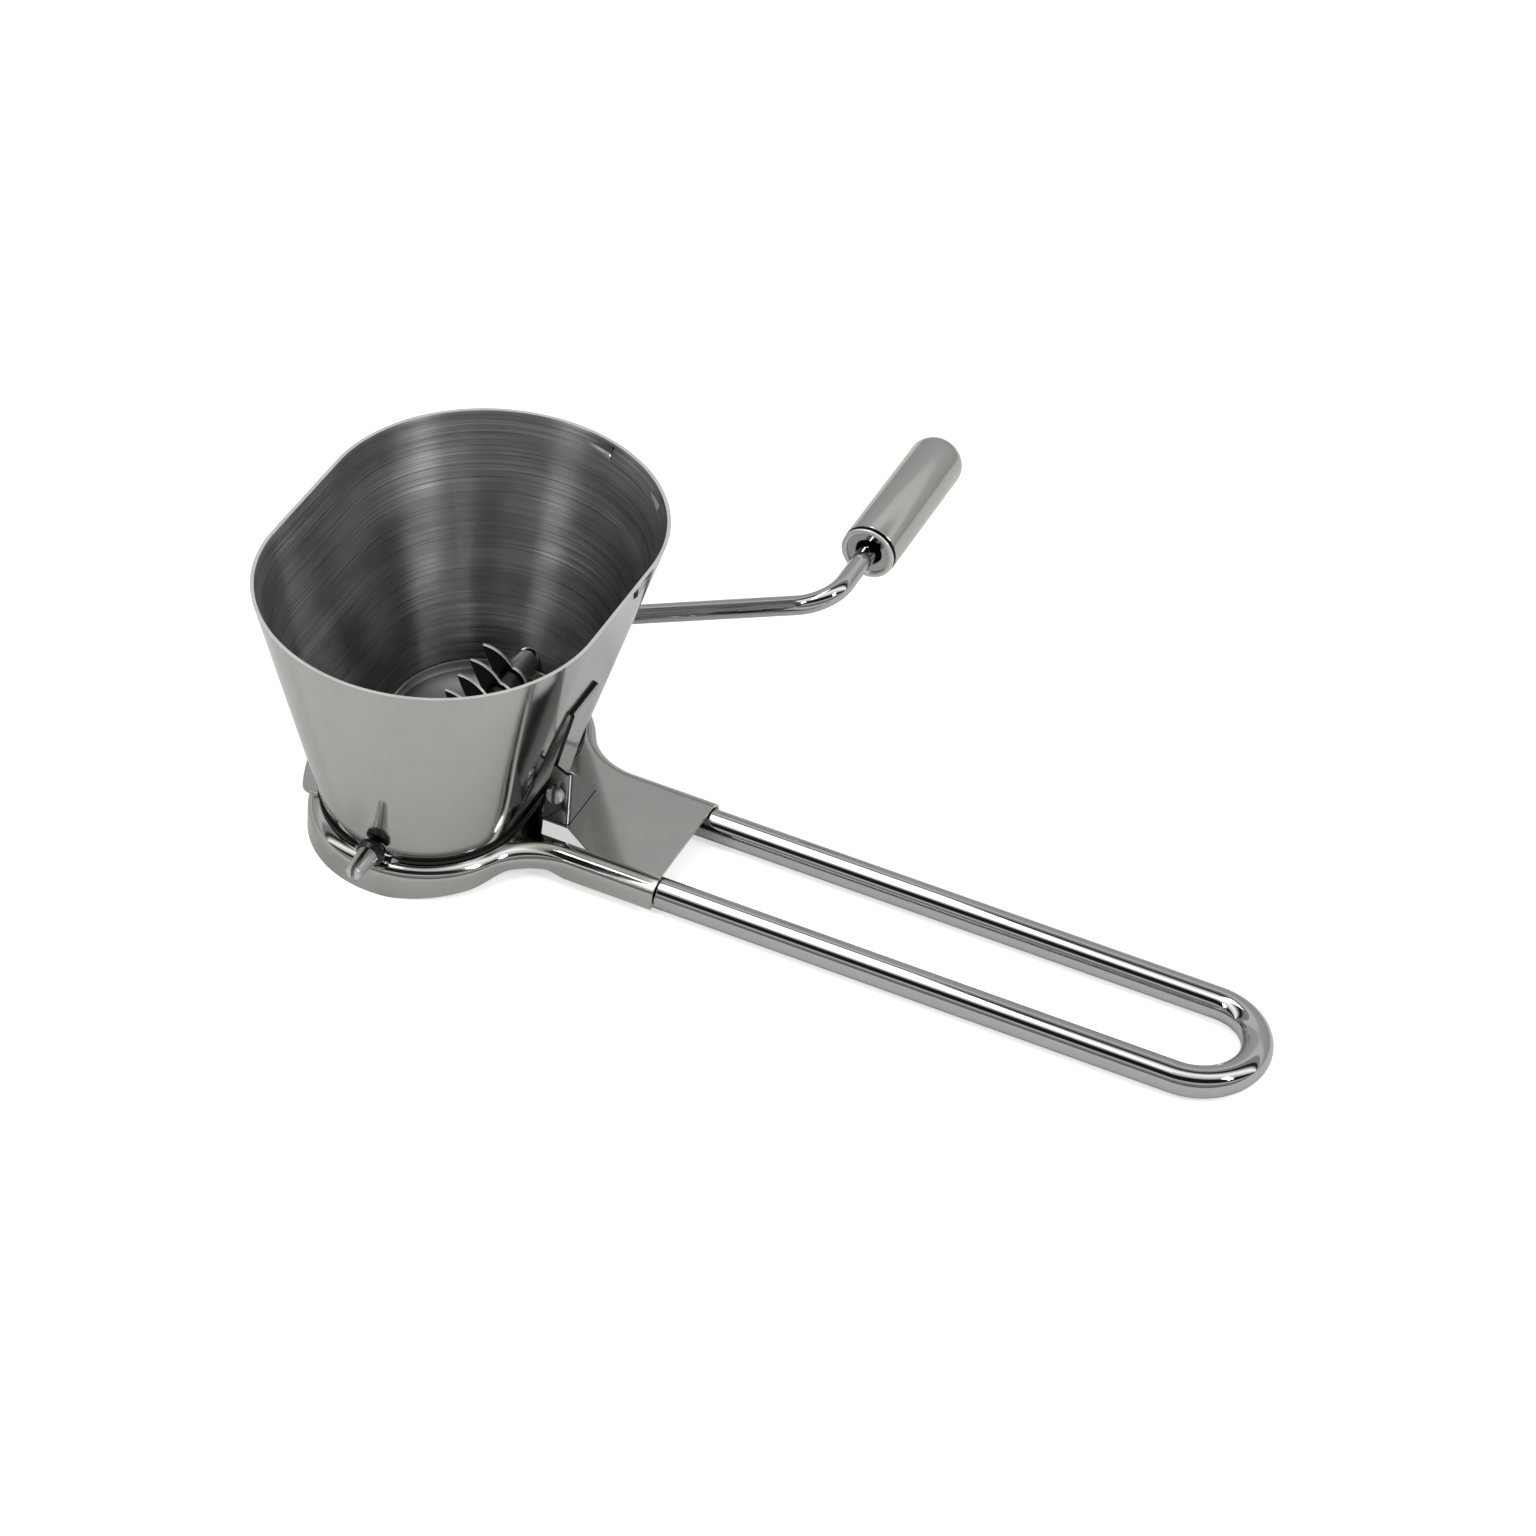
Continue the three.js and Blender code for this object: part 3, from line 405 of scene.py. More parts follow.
def frameGrid():
    s = frameSizes
    neckY = s["plateHalf"] + s["neckRadius"]
    neckX = np.sqrt((s["ringRadius"] + s["neckRadius"]) ** 2 - (neckY - s["flatHalf"]) ** 2)
    meet = np.arctan2(neckY - s["flatHalf"], neckX)
    sideX = np.linspace(s["plateEnd"], neckX, 9)[:-1]
    firstLeg = neckX - s["opening"]
    secondLeg = firstLeg + s["flatHalf"]
    legs = secondLeg + meet * s["opening"]
    share = spaced(np.linspace(0, 1, 25), firstLeg / legs, secondLeg / legs)[:-1]
    neckTurn = np.pi / 2 + share * (np.pi / 2 - meet)
    ringTurn = np.linspace(0, 1, 57)
    flatY = np.linspace(-s["flatHalf"], s["flatHalf"], 13)[1:-1]
    ringAngle = -meet - ringTurn * (np.pi - meet)
    # near half: side, neck, ring
    plan = np.concatenate([
        np.stack([sideX, np.full(len(sideX), -s["plateHalf"])], -1),
        np.stack([neckX + s["neckRadius"] * np.cos(neckTurn), -neckY + s["neckRadius"] * np.sin(neckTurn)], -1),
        np.stack([s["ringRadius"] * np.cos(ringAngle), -s["flatHalf"] + s["ringRadius"] * np.sin(ringAngle)], -1)])
    out = np.concatenate([
        np.tile([0.0, -1.0], (len(sideX), 1)),
        -np.stack([np.cos(neckTurn), np.sin(neckTurn)], -1),
        np.stack([np.cos(ringAngle), np.sin(ringAngle)], -1)])
    # the flat ends on the plate's middle line, then on the opening's straight side, then on its round end
    run = share * legs
    openAngle = np.concatenate([-np.maximum(run - secondLeg, 0) / s["opening"], ringAngle])
    openLine = np.concatenate([np.clip(run - firstLeg, 0, s["flatHalf"]), np.full(len(ringAngle), s["flatHalf"])])
    before = np.concatenate([np.maximum(firstLeg - run, 0), 0 * ringAngle])
    goal = np.concatenate([
        np.stack([sideX, 0 * sideX], -1),
        np.stack([before + s["opening"] * np.cos(openAngle), s["opening"] * np.sin(openAngle) - openLine], -1)])
    flip = np.array([1.0, -1.0])
    straight = np.stack([np.full(len(flatY), -1.0), flatY], -1)
    plan = np.concatenate([plan, straight * [s["ringRadius"], 1], plan[::-1] * flip])
    out = np.concatenate([out, straight * [1, 0], out[::-1] * flip])
    goal = np.concatenate([goal, straight * [s["opening"], 1], goal[::-1] * flip])

    # shoulder radius of each column: the plate's, passing through the neck into the ring's
    toRing = np.concatenate([0 * sideX, share, np.ones(len(ringTurn))])
    toRing = np.concatenate([toRing, np.ones(len(flatY)), toRing[::-1]])
    shoulder = s["plateShoulder"] + (s["shoulder"] - s["plateShoulder"]) * toRing
    # tilt from upright to level; on the near side of the plate the bend is tight where it is half way over
    tilt = np.radians(np.linspace(90, 0, 46))
    between = (tilt[1:] + tilt[:-1]) / 2
    radius = np.interp(np.degrees(between), s["tightAt"],
                       (s["easy"], s["tight"], s["tight"], s["plateShoulder"]))
    stepIn, stepUp = radius * np.cos(between), radius * np.sin(between)
    pressed = np.concatenate([[[0, 0]], np.cumsum(np.stack([stepIn, stepUp], -1), 0)]) * np.radians(2)
    pressed *= s["plateShoulder"] / pressed[-1, 0]
    nearPlate = (1 - toRing) * (np.arange(len(plan)) < len(plan) / 2)
    inset = shoulder * (1 - np.sin(tilt[:, None]))
    inset += nearPlate * (pressed[:, :1] - inset)
    climb = shoulder * np.cos(tilt[:, None])
    climb += nearPlate * (pressed[:, 1:] - climb)
    low = s["top"] - climb[-1]
    foot = np.interp(plan[:, 0], *np.transpose(s["lift"]))
    inset = np.concatenate([np.zeros((3, len(plan))), inset])
    z = np.concatenate([[foot, foot + 0.3, (foot + low + 0.3) / 2], low + climb])
    wall = plan[None] - inset[..., None] * out[None]
    edge = wall[-1]
    toGoal = goal - edge
    gap = np.linalg.norm(toGoal, axis=-1, keepdims=True)
    fraction = np.array([0.02, 0.1, 0.35, 0.7, 1.0])[:, None, None]
    first = np.minimum(0.25 / np.maximum(gap, 0.3), 1)
    fraction = np.maximum(fraction, first)
    flat = edge + fraction * toGoal
    xy = np.concatenate([wall, flat])
    z = np.concatenate([z, np.full(flat.shape[:2], s["top"])])
    points = np.concatenate([xy, z[..., None]], -1)
    return points[:, ::-1], None, None


def cutterBlock(plan):
    # upright prism of a four-cornered plan, used only to cut a window
    x, y = np.array(plan["x"]), np.array(plan["y"])
    around = np.stack([np.append(x, x[0]), np.append(y, y[0])], -1)
    centre = around[:-1].mean(0)
    levels = [(0, plan["low"]), (1, plan["low"]), (1, plan["high"]), (0, plan["high"])]
    rows = [np.concatenate([centre + k * (around - centre), np.full((5, 1), z)], -1) for k, z in levels]
    return makePiece("window_tool", [(np.stack(rows), None, None)], [])


windowTool = cutterBlock(windowPlan)
# the frame's cut edges are in a painted highlight
frameBase = makePiece("pressed_frame", [frameGrid()], [sheetSteel], solid=frameSizes["sheet"],
                      bevel=frameSizes["edge"], closed=False, cutter=windowTool, edgeLook=paintedHighlightSteel)
bpy.data.objects.remove(windowTool)
fit(frameBase, "mill", "sheet", "frame")
print("frame done")


# Handle: one wire, two straight legs and a half-round end
handleSizes = dict(radius=3.3, half=12.3, height=3.4, start=39.0, bendAt=165.8)
h = handleSizes
leg = np.linspace([h["start"], -h["half"], h["height"]], [h["bendAt"], -h["half"], h["height"]], 40)[:-1]
curl = bend(leg[-1] + (leg[1] - leg[0]), np.array([1.0, 0, 0]), np.array([0, 1.0, 0]), h["half"], np.pi, 64)
handlePath = np.concatenate([leg, curl, (leg * [1, -1, 1])[::-1]])
handle = makePiece("handle_loop", [wireAlong(handlePath, np.array([0, 0, 1.0]), h["radius"])], [wireSteel])
fit(handle, "mill", "wire", "handle_wire")
print("handle done")


# Floor: an oblong dish. Rows are curves of one distance from the spine line, columns are places along the
# shaft, and the depth is a quarter ellipse of the distance; slots are left out between two columns.
# bright and dark are the radii from which the dish is painted with a highlight and with shade
floorSizes = dict(flatHalf=13.6, flange=21.5, wall=19.8, flat=6.0, bottom=1.9, top=8.6, sheet=0.7,
                  slotHalf=8.5, slotWide=0.9, pitch=5.8, count=10, notch=3.15, bright=19.4, dark=20.6)
bladeYs = (np.arange(floorSizes["count"]) - (floorSizes["count"] - 1) / 2) * floorSizes["pitch"]


def floorGrid():
    s = floorSizes
    slotEdges = (bladeYs[:, None] + s["slotWide"] * np.array([-1, 1])).ravel()
    reach = s["flatHalf"] + s["flange"]
    ends = reach - (s["flange"]) * (1 - np.sin(np.linspace(0, np.pi / 2, 30)))
    y = spaced(np.linspace(-s["flatHalf"], s["flatHalf"], 9), ends, -ends, slotEdges)
    past = np.maximum(np.abs(y) - s["flatHalf"], 0)
    slotRows = np.hypot(s["slotHalf"], np.maximum(np.abs(bladeYs) - s["flatHalf"], 0))
    curve = s["flat"] + (s["wall"] - s["flat"]) * np.sin(np.linspace(0, np.pi / 2, 17))
    rowR = spaced(np.linspace(0, s["flat"], 5), curve, slotRows, np.linspace(s["wall"], s["flange"], 4))
    r = np.maximum(rowR[:, None], past[None])
    x = np.sqrt(np.maximum(r ** 2 - past ** 2, 0))
    lift = np.clip((r - s["flat"]) / (s["wall"] - s["flat"]), 0, 1)
    depth = s["top"] - s["bottom"] - s["sheet"]
    z = s["top"] - depth * np.sqrt(1 - lift ** 2)
    yy = np.broadcast_to(y, r.shape)
    side = np.stack([x, yy, z], -1)
    cellY = (y[1:] + y[:-1]) / 2
    inSlot = np.any(np.abs(cellY[:, None] - bladeYs) < s["slotWide"], 1)
    cellX = (x[1:, 1:] + x[:-1, :-1]) / 2
    notch = (np.abs(cellY) > s["flatHalf"] + 12) & (cellX < s["notch"])
    keep = ~((inSlot & (cellX < s["slotHalf"] - 0.05)) | notch)
    # painted highlight as a bright line at the mouth, painted shade as a dark rim under the hopper
    mouth = (rowR[1:, None] > s["bright"]).astype(int) + (rowR[1:, None] > s["dark"])
    return [(side[::-1], None, keep[::-1], mouth[::-1]), (side * [-1, 1, 1], None, keep, mouth)]


combFloor = makePiece("slotted_floor", floorGrid(), [floorSteel, paintedHighlightSteel, paintedShadeSteel],
                      solid=floorSizes["sheet"], closed=False)
fit(combFloor, "mill", "sheet", "comb_floor")
print("floor done")


# Blade: a flat ring from the bore out to the sickle outline, one outline point for each bore point. Backs and
# cutting edges are quadratic curves between hub and point.
bladeSizes = dict(radius=9.9, hub=3.6, bore=2.35, thick=0.8, pointAt=134, backStart=-50, backAt=-24, backReach=0.8,
                  edgeAt=12, edgeReach=0.7, edgeEnd=42, bevel=0.12)


def polar(radius, degrees):
    return np.array([radius * np.cos(np.radians(degrees)), radius * np.sin(np.radians(degrees))])


def quadratic(a, b, c, steps):
    t = np.linspace(0, 1, steps + 1)[:-1, None]
    return (1 - t) ** 2 * a + 2 * t * (1 - t) * b + t ** 2 * c


def bladeOutline():
    s = bladeSizes
    arm = []
    for point in (s["pointAt"], s["pointAt"] + 180):
        tip = polar(s["radius"], point)
        edgeFoot = polar(s["hub"], point + s["edgeEnd"])
        arm.append(quadratic(polar(s["hub"], point + s["backStart"]),
                             polar(s["backReach"] * s["radius"], point + s["backAt"]), tip, 18))
        arm.append(quadratic(tip, polar(s["edgeReach"] * s["radius"], point + s["edgeAt"]), edgeFoot, 18))
        a = np.radians(np.linspace(point + s["edgeEnd"], point + 180 + s["backStart"], 15)[:-1])
        arm.append(s["hub"] * np.stack([np.cos(a), np.sin(a)], -1))
    outline = np.concatenate(arm)
    return np.concatenate([outline, outline[:1]])


def bladeGrid(y):
    s = bladeSizes
    outline = bladeOutline()
    bore = s["bore"] * outline / np.linalg.norm(outline, axis=1, keepdims=True)
    front, back = y - s["thick"] / 2, y + s["thick"] / 2
    rows = [(bore, front), (outline, front), (outline, back), (bore, back), (bore, front)]
    points = [np.stack([plan[:, 0], np.full(len(plan), at), shaftHeight + plan[:, 1]], -1) for plan, at in rows]
    # the outer edge faces are in a painted highlight, the faces in painted shade
    return np.stack(points), None, None, np.array([[0], [1], [0], [0]])


for number, y in enumerate(bladeYs, 1):
    blade = makePiece(f"sickle_blade_{number:02d}", [bladeGrid(y)], [shadedBladeSteel, paintedHighlightSteel],
                      bevel=bladeSizes["bevel"])
    fit(blade, "crank", "blade", f"blade_{number:02d}")
print("blades done")


# Sleeves between the blades: turned tubes, as long as the solids they stand for
sleeveSizes = dict(bore=2.35, radius=2.9, edge=0.12)
for number in range(1, 12):
    node = f"spacer_{number:02d}"
    low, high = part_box(node)
    y0, y1 = low.y / mm - middle[1], high.y / mm - middle[1]
    s = sleeveSizes
    profile = [(s["bore"], y0), (s["radius"] - s["edge"], y0), (s["radius"], y0 + s["edge"]),
               (s["radius"], y1 - s["edge"]), (s["radius"] - s["edge"], y1), (s["bore"], y1), (s["bore"], y0)]
    # the sleeves between blades are in the blade's painted shade, the long end one stays grey
    look = floorSteel if number == 11 else shadedBladeSteel
    fit(makePiece(f"sleeve_{number:02d}", [turned(profile, 0, shaftHeight, 40)], [look]), "crank", "wire", node)
print("sleeves done")


# Crank: shaft, arm and spindle are one wire in one plane; the arm slants a little away from the hopper
crankSizes = dict(radius=2.1, bend=8.0, arm=53.0, reach=59.5, rise=25.4, slant=2.6, start=-36.08, end=79.8)
c = crankSizes
slant = np.radians(c["slant"])
yWay = np.array([0, 1.0, 0])
outward = np.array([c["reach"], 0, c["rise"]])
drift = np.linalg.norm(outward) * np.tan(slant)
outward /= np.linalg.norm(outward)
armWay = outward * np.cos(slant) + yWay * np.sin(slant)
inward = yWay * np.cos(slant) - outward * np.sin(slant)
sweep = np.pi / 2 - slant
setback = c["bend"] * np.tan(sweep / 2)
shaftEnd = np.array([0, c["arm"] - drift - setback, shaftHeight])
armEnd = np.array([c["reach"], c["arm"], shaftHeight + c["rise"]]) - armWay * setback
shaft = np.linspace([0, c["start"], shaftHeight], shaftEnd, 30)[:-1]
lower = bend(shaftEnd, yWay, outward, c["bend"], sweep, 20)
upper = bend(armEnd, armWay, inward, c["bend"], sweep, 20)
armLine = np.linspace(lower[-1], armEnd, 16)[1:-1]
spindle = np.linspace(upper[-1], [c["reach"], c["end"], shaftHeight + c["rise"]], 12)[1:]
crankPath = np.concatenate([shaft, lower, armLine, upper, spindle])
crank = makePiece("crank_wire", [wireAlong(crankPath, np.cross(yWay, outward), c["radius"], 32)], [wireSteel])
fit(crank, "crank", "wire", "crank_rod")
print("crank done")


def prong(profile, x, z, slit, sign, sides=32, flats=6):
    # half of a split pin: each row is the arc of its circle that lies beyond the slit, closed by a straight chord
    profile = np.asarray(profile, float)
    radius, y = profile[:, :1], profile[:, 1:]
    half = np.arccos(np.minimum(slit / 2 / np.maximum(radius, slit / 2), 1))
    around = half * np.linspace(-1, 1, sides + 1)
    chord = radius * np.sin(half) * np.linspace(1, -1, flats + 1)[1:]
    across = np.concatenate([np.maximum(radius * np.cos(around), slit / 2), np.full(chord.shape, slit / 2)], 1)
    upright = np.concatenate([radius * np.sin(around), chord], 1)
    return np.stack([x + sign * across, y + 0 * across, z + sign * upright], -1), None, None


# Snap tip: a collar against the hopper and two springy prongs in front of it
tipSizes = dict(collar=3.0, start=-36.28, collarLength=1.6, length=6.9, root=2.3, end=1.65, nose=0.5, slit=0.8,
                edge=0.1)
t = tipSizes
collarEnd = t["start"] - t["collarLength"]
tipEnd = collarEnd - t["length"]
collarProfile = [(0, t["start"]), (t["collar"] - 0.3, t["start"]), (t["collar"], t["start"] - 0.3),
                 (t["collar"], collarEnd + 0.3), (t["collar"] - 0.3, collarEnd), (t["root"], collarEnd - 0.5),
                 (0, collarEnd - 0.5)]
prongProfile = np.concatenate([
    [(0, collarEnd), (t["root"], collarEnd)],
    corner(t["end"] - t["nose"], tipEnd + t["nose"], t["nose"], 0, -90, 6), [(0, tipEnd)]])
# the collar is drawn in painted shade
tipGrids = [(*turned(collarProfile, 0, shaftHeight), 1)]
tipGrids += [prong(prongProfile, 0, shaftHeight, t["slit"], sign) for sign in (1, -1)]
tip = makePiece("snap_tip", tipGrids, [turnedSteel, paintedShadeSteel], bevel=t["edge"])
fit(tip, "crank", "wire", "shaft_tip")

# Split pin through the bracket: shank and head behind the cheek, two barbed prongs in front
pinSizes = dict(x=27.2, z=15.7, shank=1.05, barb=1.9, head=1.65, cheek=-7.55, barbLength=1.7, tail=4.0,
                headLength=1.2, slit=0.8, chamfer=0.4, gap=0.25, sheet=0.8, edge=0.1)
p = pinSizes
barbStart = p["cheek"] - p["gap"]
pinEnd = barbStart - p["barbLength"]
headStart = p["cheek"] + p["sheet"] + p["tail"]
headProfile = [(0, headStart - 2), (p["shank"], headStart - 2), (p["shank"], headStart), (p["head"] - 0.2, headStart),
               (p["head"], headStart + 0.2), (p["head"], headStart + p["headLength"] - 0.3),
               (p["head"] - 0.3, headStart + p["headLength"]), (0, headStart + p["headLength"])]
barbProfile = [(0, headStart - 2), (p["shank"], headStart - 2), (p["shank"], barbStart), (p["barb"], barbStart),
               (p["barb"], pinEnd + p["chamfer"]), (p["barb"] - 0.2, pinEnd + 0.2),
               (p["barb"] - p["chamfer"], pinEnd), (0, pinEnd)]
pinGrids = [turned(headProfile, p["x"], p["z"])]
pinGrids += [prong(barbProfile, p["x"], p["z"], p["slit"], sign) for sign in (1, -1)]
pin = makePiece("split_snap_pin", pinGrids, [turnedSteel], bevel=p["edge"])
fit(pin, "mill", "wire", "split_pin")
print("tip and pin done")


# Strap: a sheet profile carried along the shaft's direction, up the flat side and hooked through its slot
strapSizes = dict(near=-6.5, far=4.9, foot=7.9, gapLow=1.9, gapTop=0.35, sheet=0.8, slot=36.2, hook=1.5, bend=1.0,
                  edge=0.2)
s = strapSizes
outerLow = np.array([wallReach(s["foot"]) + s["gapLow"] + s["sheet"], s["foot"]])
outerTop = np.array([wallReach(s["slot"]) + s["gapTop"] + s["sheet"], s["slot"] + s["sheet"] / 2])
inner = np.array([wallReach(s["slot"]) - hopperSizes["sheet"] - s["hook"], s["slot"] + s["sheet"] / 2])
climb = (outerTop - outerLow) / np.linalg.norm(outerTop - outerLow)
before, after = outerTop - climb * s["bend"], outerTop + np.array([-1.0, 0]) * s["bend"]
profile = np.concatenate([np.linspace(outerLow, before, 12), quadratic(before, outerTop, after, 8)[1:],
                          np.linspace(after, inner, 5)])
across = np.linspace(s["near"], s["far"], 9)
strapPoints = np.stack([np.broadcast_to(profile[:, :1], (len(profile), 9)),
                        np.broadcast_to(across, (len(profile), 9)),
                        np.broadcast_to(profile[:, 1:], (len(profile), 9))], -1)
# the hook's top inside the slot is painted dark as the slot's shade, and the strap's edges are in painted shade
hookShade = (np.arange(len(profile) - 1)[:, None] > len(profile) - 9).astype(int)
strap = makePiece("strap_sheet", [(strapPoints, None, None, hookShade)], [sheetSteel, paintedShadeSteel], solid=s["sheet"],
                  bevel=s["edge"], closed=False, edgeLook=paintedShadeSteel)
fit(strap, "mill", "sheet", "hopper_strap")

# Bracket: one folded sheet; each plan point has a foot on the plate and a top, joined by straight lines
bracketSizes = dict(foot=7.9, top=21.0, rise=1.5, web=30.0, cheek=-7.55, cheekWidth=6.0, lean=2.0, webLength=13.5,
                    low=8.7, fold=1.0, sheet=0.8, edge=0.08)
b = bracketSizes
foldA = np.linspace(0, np.pi / 2, 9)
foldX = b["web"] - b["fold"] + b["fold"] * np.sin(foldA)
foldY = b["cheek"] + b["fold"] - b["fold"] * np.cos(foldA)
cheekX = np.linspace(b["web"] - b["cheekWidth"], b["web"] - b["fold"], 9)[:-1]
webY = np.linspace(b["cheek"] + b["fold"], b["cheek"] + b["webLength"], 15)[1:]
footX = np.concatenate([cheekX, foldX, np.full(len(webY), b["web"])])
footY = np.concatenate([np.full(len(cheekX), b["cheek"]), foldY, webY])
leaning = np.concatenate([np.linspace(b["lean"], 0, len(cheekX) + 1)[:-1], np.zeros(len(foldX) + len(webY))])
topZ = np.interp(footY, [b["cheek"] + b["fold"], b["cheek"] + b["webLength"]], [b["top"], b["low"]])
topZ += np.interp(footX, [b["web"] - b["cheekWidth"], b["web"] - b["fold"]], [b["rise"], 0])
rise = np.linspace(0, 1, 13)[:, None]
bracketPoints = np.stack([footX + rise * leaning, footY + 0 * rise, b["foot"] + rise * (topZ - b["foot"])], -1)
# the bracket's cut edges are near black, a painted shadow line
bracket = makePiece("pin_bracket_sheet", [(bracketPoints, None, None)], [springSteel], solid=b["sheet"],
                    bevel=b["edge"], closed=False, edgeLook=paintedBlackShade)
fit(bracket, "mill", "sheet", "pin_bracket")

# Ear: a flat tab on the ring. Each column runs from the floor's flange out to a bowed edge with round corners
earSizes = dict(half=24.2, bow=53.6, middle=25.3, flange=21.7, flatHalf=13.6, top=8.53, sheet=0.8, corner=1.6,
                edge=0.15)
e = earSizes
y = e["half"] * np.sin(np.linspace(-np.pi / 2, np.pi / 2, 61))
cornerGap = np.maximum(e["corner"] - (e["half"] - np.abs(y)), 0)
flangeX = -np.sqrt(e["flange"] ** 2 - np.maximum(np.abs(y) - e["flatHalf"], 0) ** 2)
bowX = e["middle"] - np.sqrt(e["bow"] ** 2 - y ** 2) + e["corner"] - np.sqrt(e["corner"] ** 2 - cornerGap ** 2)
x = flangeX + np.linspace(0, 1, 7)[:, None] * (bowX - flangeX)
earPoints = np.stack([x, y + 0 * x, np.full(x.shape, e["top"])], -1)
ear = makePiece("ring_ear", [(earPoints, None, None)], [sheetSteel], solid=e["sheet"], bevel=e["edge"],
                closed=False)
fit(ear, "mill", "sheet", "catch_ear")
print("strap, bracket and ear done")


# Grip: a drawn tube with a round end, and a cap ring pressed into its mouth
gripSizes = dict(x=59.5, z=35.8, start=73.6, length=39.9, radius=6.1, wall=0.8, corner=4.8, bore=2.35, plug=5.05,
                 plugEnd=79.6, flange=6.0, flangeBack=73.1, flangeFront=72.4, dish=4.9, face=73.0, edge=0.3,
                 mouth=2.9, mouthEnd=75.0)
# square nick in the cap's face beside the spindle
nickPlan = dict(x=(60.4, 62.2, 62.2, 60.4), y=(72.0, 72.0, 74.4, 74.4), low=37.2, high=39.0)
g = gripSizes
gripEnd = g["start"] + g["length"]
innerR = g["radius"] - g["wall"]
shellProfile = np.concatenate([
    [(0, gripEnd - g["corner"]), (innerR, gripEnd - g["corner"]), (innerR, g["start"] + 0.2),
     (innerR + 0.2, g["start"])],
    corner(g["radius"] - 0.45, g["start"] + 0.45, 0.45, -90, 0, 5),
    corner(g["radius"] - g["corner"], gripEnd - g["corner"], g["corner"], 0, 90, 12), [(0, gripEnd)]])
# the tube's inside and its lip beside the cap are painted dark as the shade in the gap
lipShade = (np.arange(len(shellProfile) - 1)[:, None] < 7).astype(int)
grip = makePiece("grip_tube", [(*turned(shellProfile, g["x"], g["z"], 72), lipShade)], [gripSteel, paintedShadeSteel])
fit(grip, "grip", "wire", "grip_sleeve")
capProfile = np.concatenate([
    [(g["bore"], g["mouthEnd"]), (g["mouth"], g["mouthEnd"]), (g["mouth"], g["face"] + 0.2),
     (g["mouth"] + 0.2, g["face"]), (g["dish"], g["face"])],
    corner(g["dish"] + g["edge"], g["flangeFront"] + g["edge"], g["edge"], 180, 270, 4),
    corner(g["flange"] - g["edge"], g["flangeFront"] + g["edge"], g["edge"], -90, 0, 4),
    [(g["flange"], g["flangeBack"] - 0.15), (g["flange"] - 0.15, g["flangeBack"]), (g["plug"], g["flangeBack"]),
     (g["plug"], g["plugEnd"]), (g["bore"], g["plugEnd"]), (g["bore"], g["mouthEnd"])]])
# face in the sheet's look, raised rim in a painted highlight, the mouth round the spindle and all behind the rim in
# painted shade
capLooks = np.zeros((len(capProfile) - 1, 1), int)
capLooks[2:4] = 1
capLooks[4:14] = 2
nickTool = cutterBlock(nickPlan)
cap = makePiece("grip_end_ring", [(*turned(capProfile, g["x"], g["z"], 64), capLooks)],
                [paintedShadeSteel, sheetSteel, paintedHighlightSteel], cutter=nickTool)
bpy.data.objects.remove(nickTool)
fit(cap, "grip", "sheet", "grip_cap")
# head on the spindle's hidden end, as long as the solid it stands for
headSizes = dict(radius=3.6, nearEdge=0.2, farEdge=0.3)
low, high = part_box("grip_retainer")
r0, r1 = low.y / mm - middle[1], high.y / mm - middle[1]
headR = headSizes["radius"]
spindleHead = [(0, r0), (headR - headSizes["nearEdge"], r0), (headR, r0 + headSizes["nearEdge"]),
               (headR, r1 - headSizes["farEdge"]), (headR - headSizes["farEdge"], r1), (0, r1)]
retainer = makePiece("spindle_head", [turned(spindleHead, g["x"], g["z"], 48)], [wireSteel])
fit(retainer, "crank", "wire", "grip_retainer")
print("grip done")


# Stage: a wide pale floor that shows white and keeps the shadow, a banded light tent around, three soft boxes
stageLook = dict(floorSize=24.0, floor="#d9d9d8", glow=0.6, mirrored=0.05, roomStrength=1.0)
floorMesh = bpy.data.meshes.new("studio_floor")
reach = stageLook["floorSize"] / 2
floorCorners = [(-reach, -reach, 0), (reach, -reach, 0), (reach, reach, 0), (-reach, reach, 0)]
floorMesh.from_pydata(floorCorners, [], [(0, 1, 2, 3)])
floor = bpy.data.objects.new("studio_floor", floorMesh)
bpy.context.scene.collection.objects.link(floor)
floorPaper, tree = newMaterial("white_studio_paper")
rays = addNode(tree, "ShaderNodeLightPath")
mirrored = addNode(tree, "ShaderNodeMath", {0: rays.outputs["Is Glossy Ray"], 1: rays.outputs["Is Transmission Ray"]},
                   operation="MAXIMUM")
faint = addNode(tree, "ShaderNodeMath", {0: mirrored.outputs["Value"]}, {1: stageLook["mirrored"]},
                operation="MULTIPLY")
glow = addNode(tree, "ShaderNodeMath", {0: rays.outputs["Is Camera Ray"], 2: faint.outputs["Value"]},
               {1: stageLook["glow"]}, operation="MULTIPLY_ADD")
paper = addNode(tree, "ShaderNodeBsdfPrincipled", {"Emission Strength": glow.outputs["Value"]},
                {"Base Color": linearColour(stageLook["floor"]), "Roughness": 0.9, "Specular IOR Level": 0.1,
                 "Emission Color": (1, 1, 1, 1)})
addNode(tree, "ShaderNodeOutputMaterial", {"Surface": paper.outputs["BSDF"]})
floorMesh.materials.append(floorPaper)

room = bpy.data.worlds.new("studio_room")
bpy.context.scene.world = room
room.use_nodes = True
tree = room.node_tree
tree.nodes.clear()
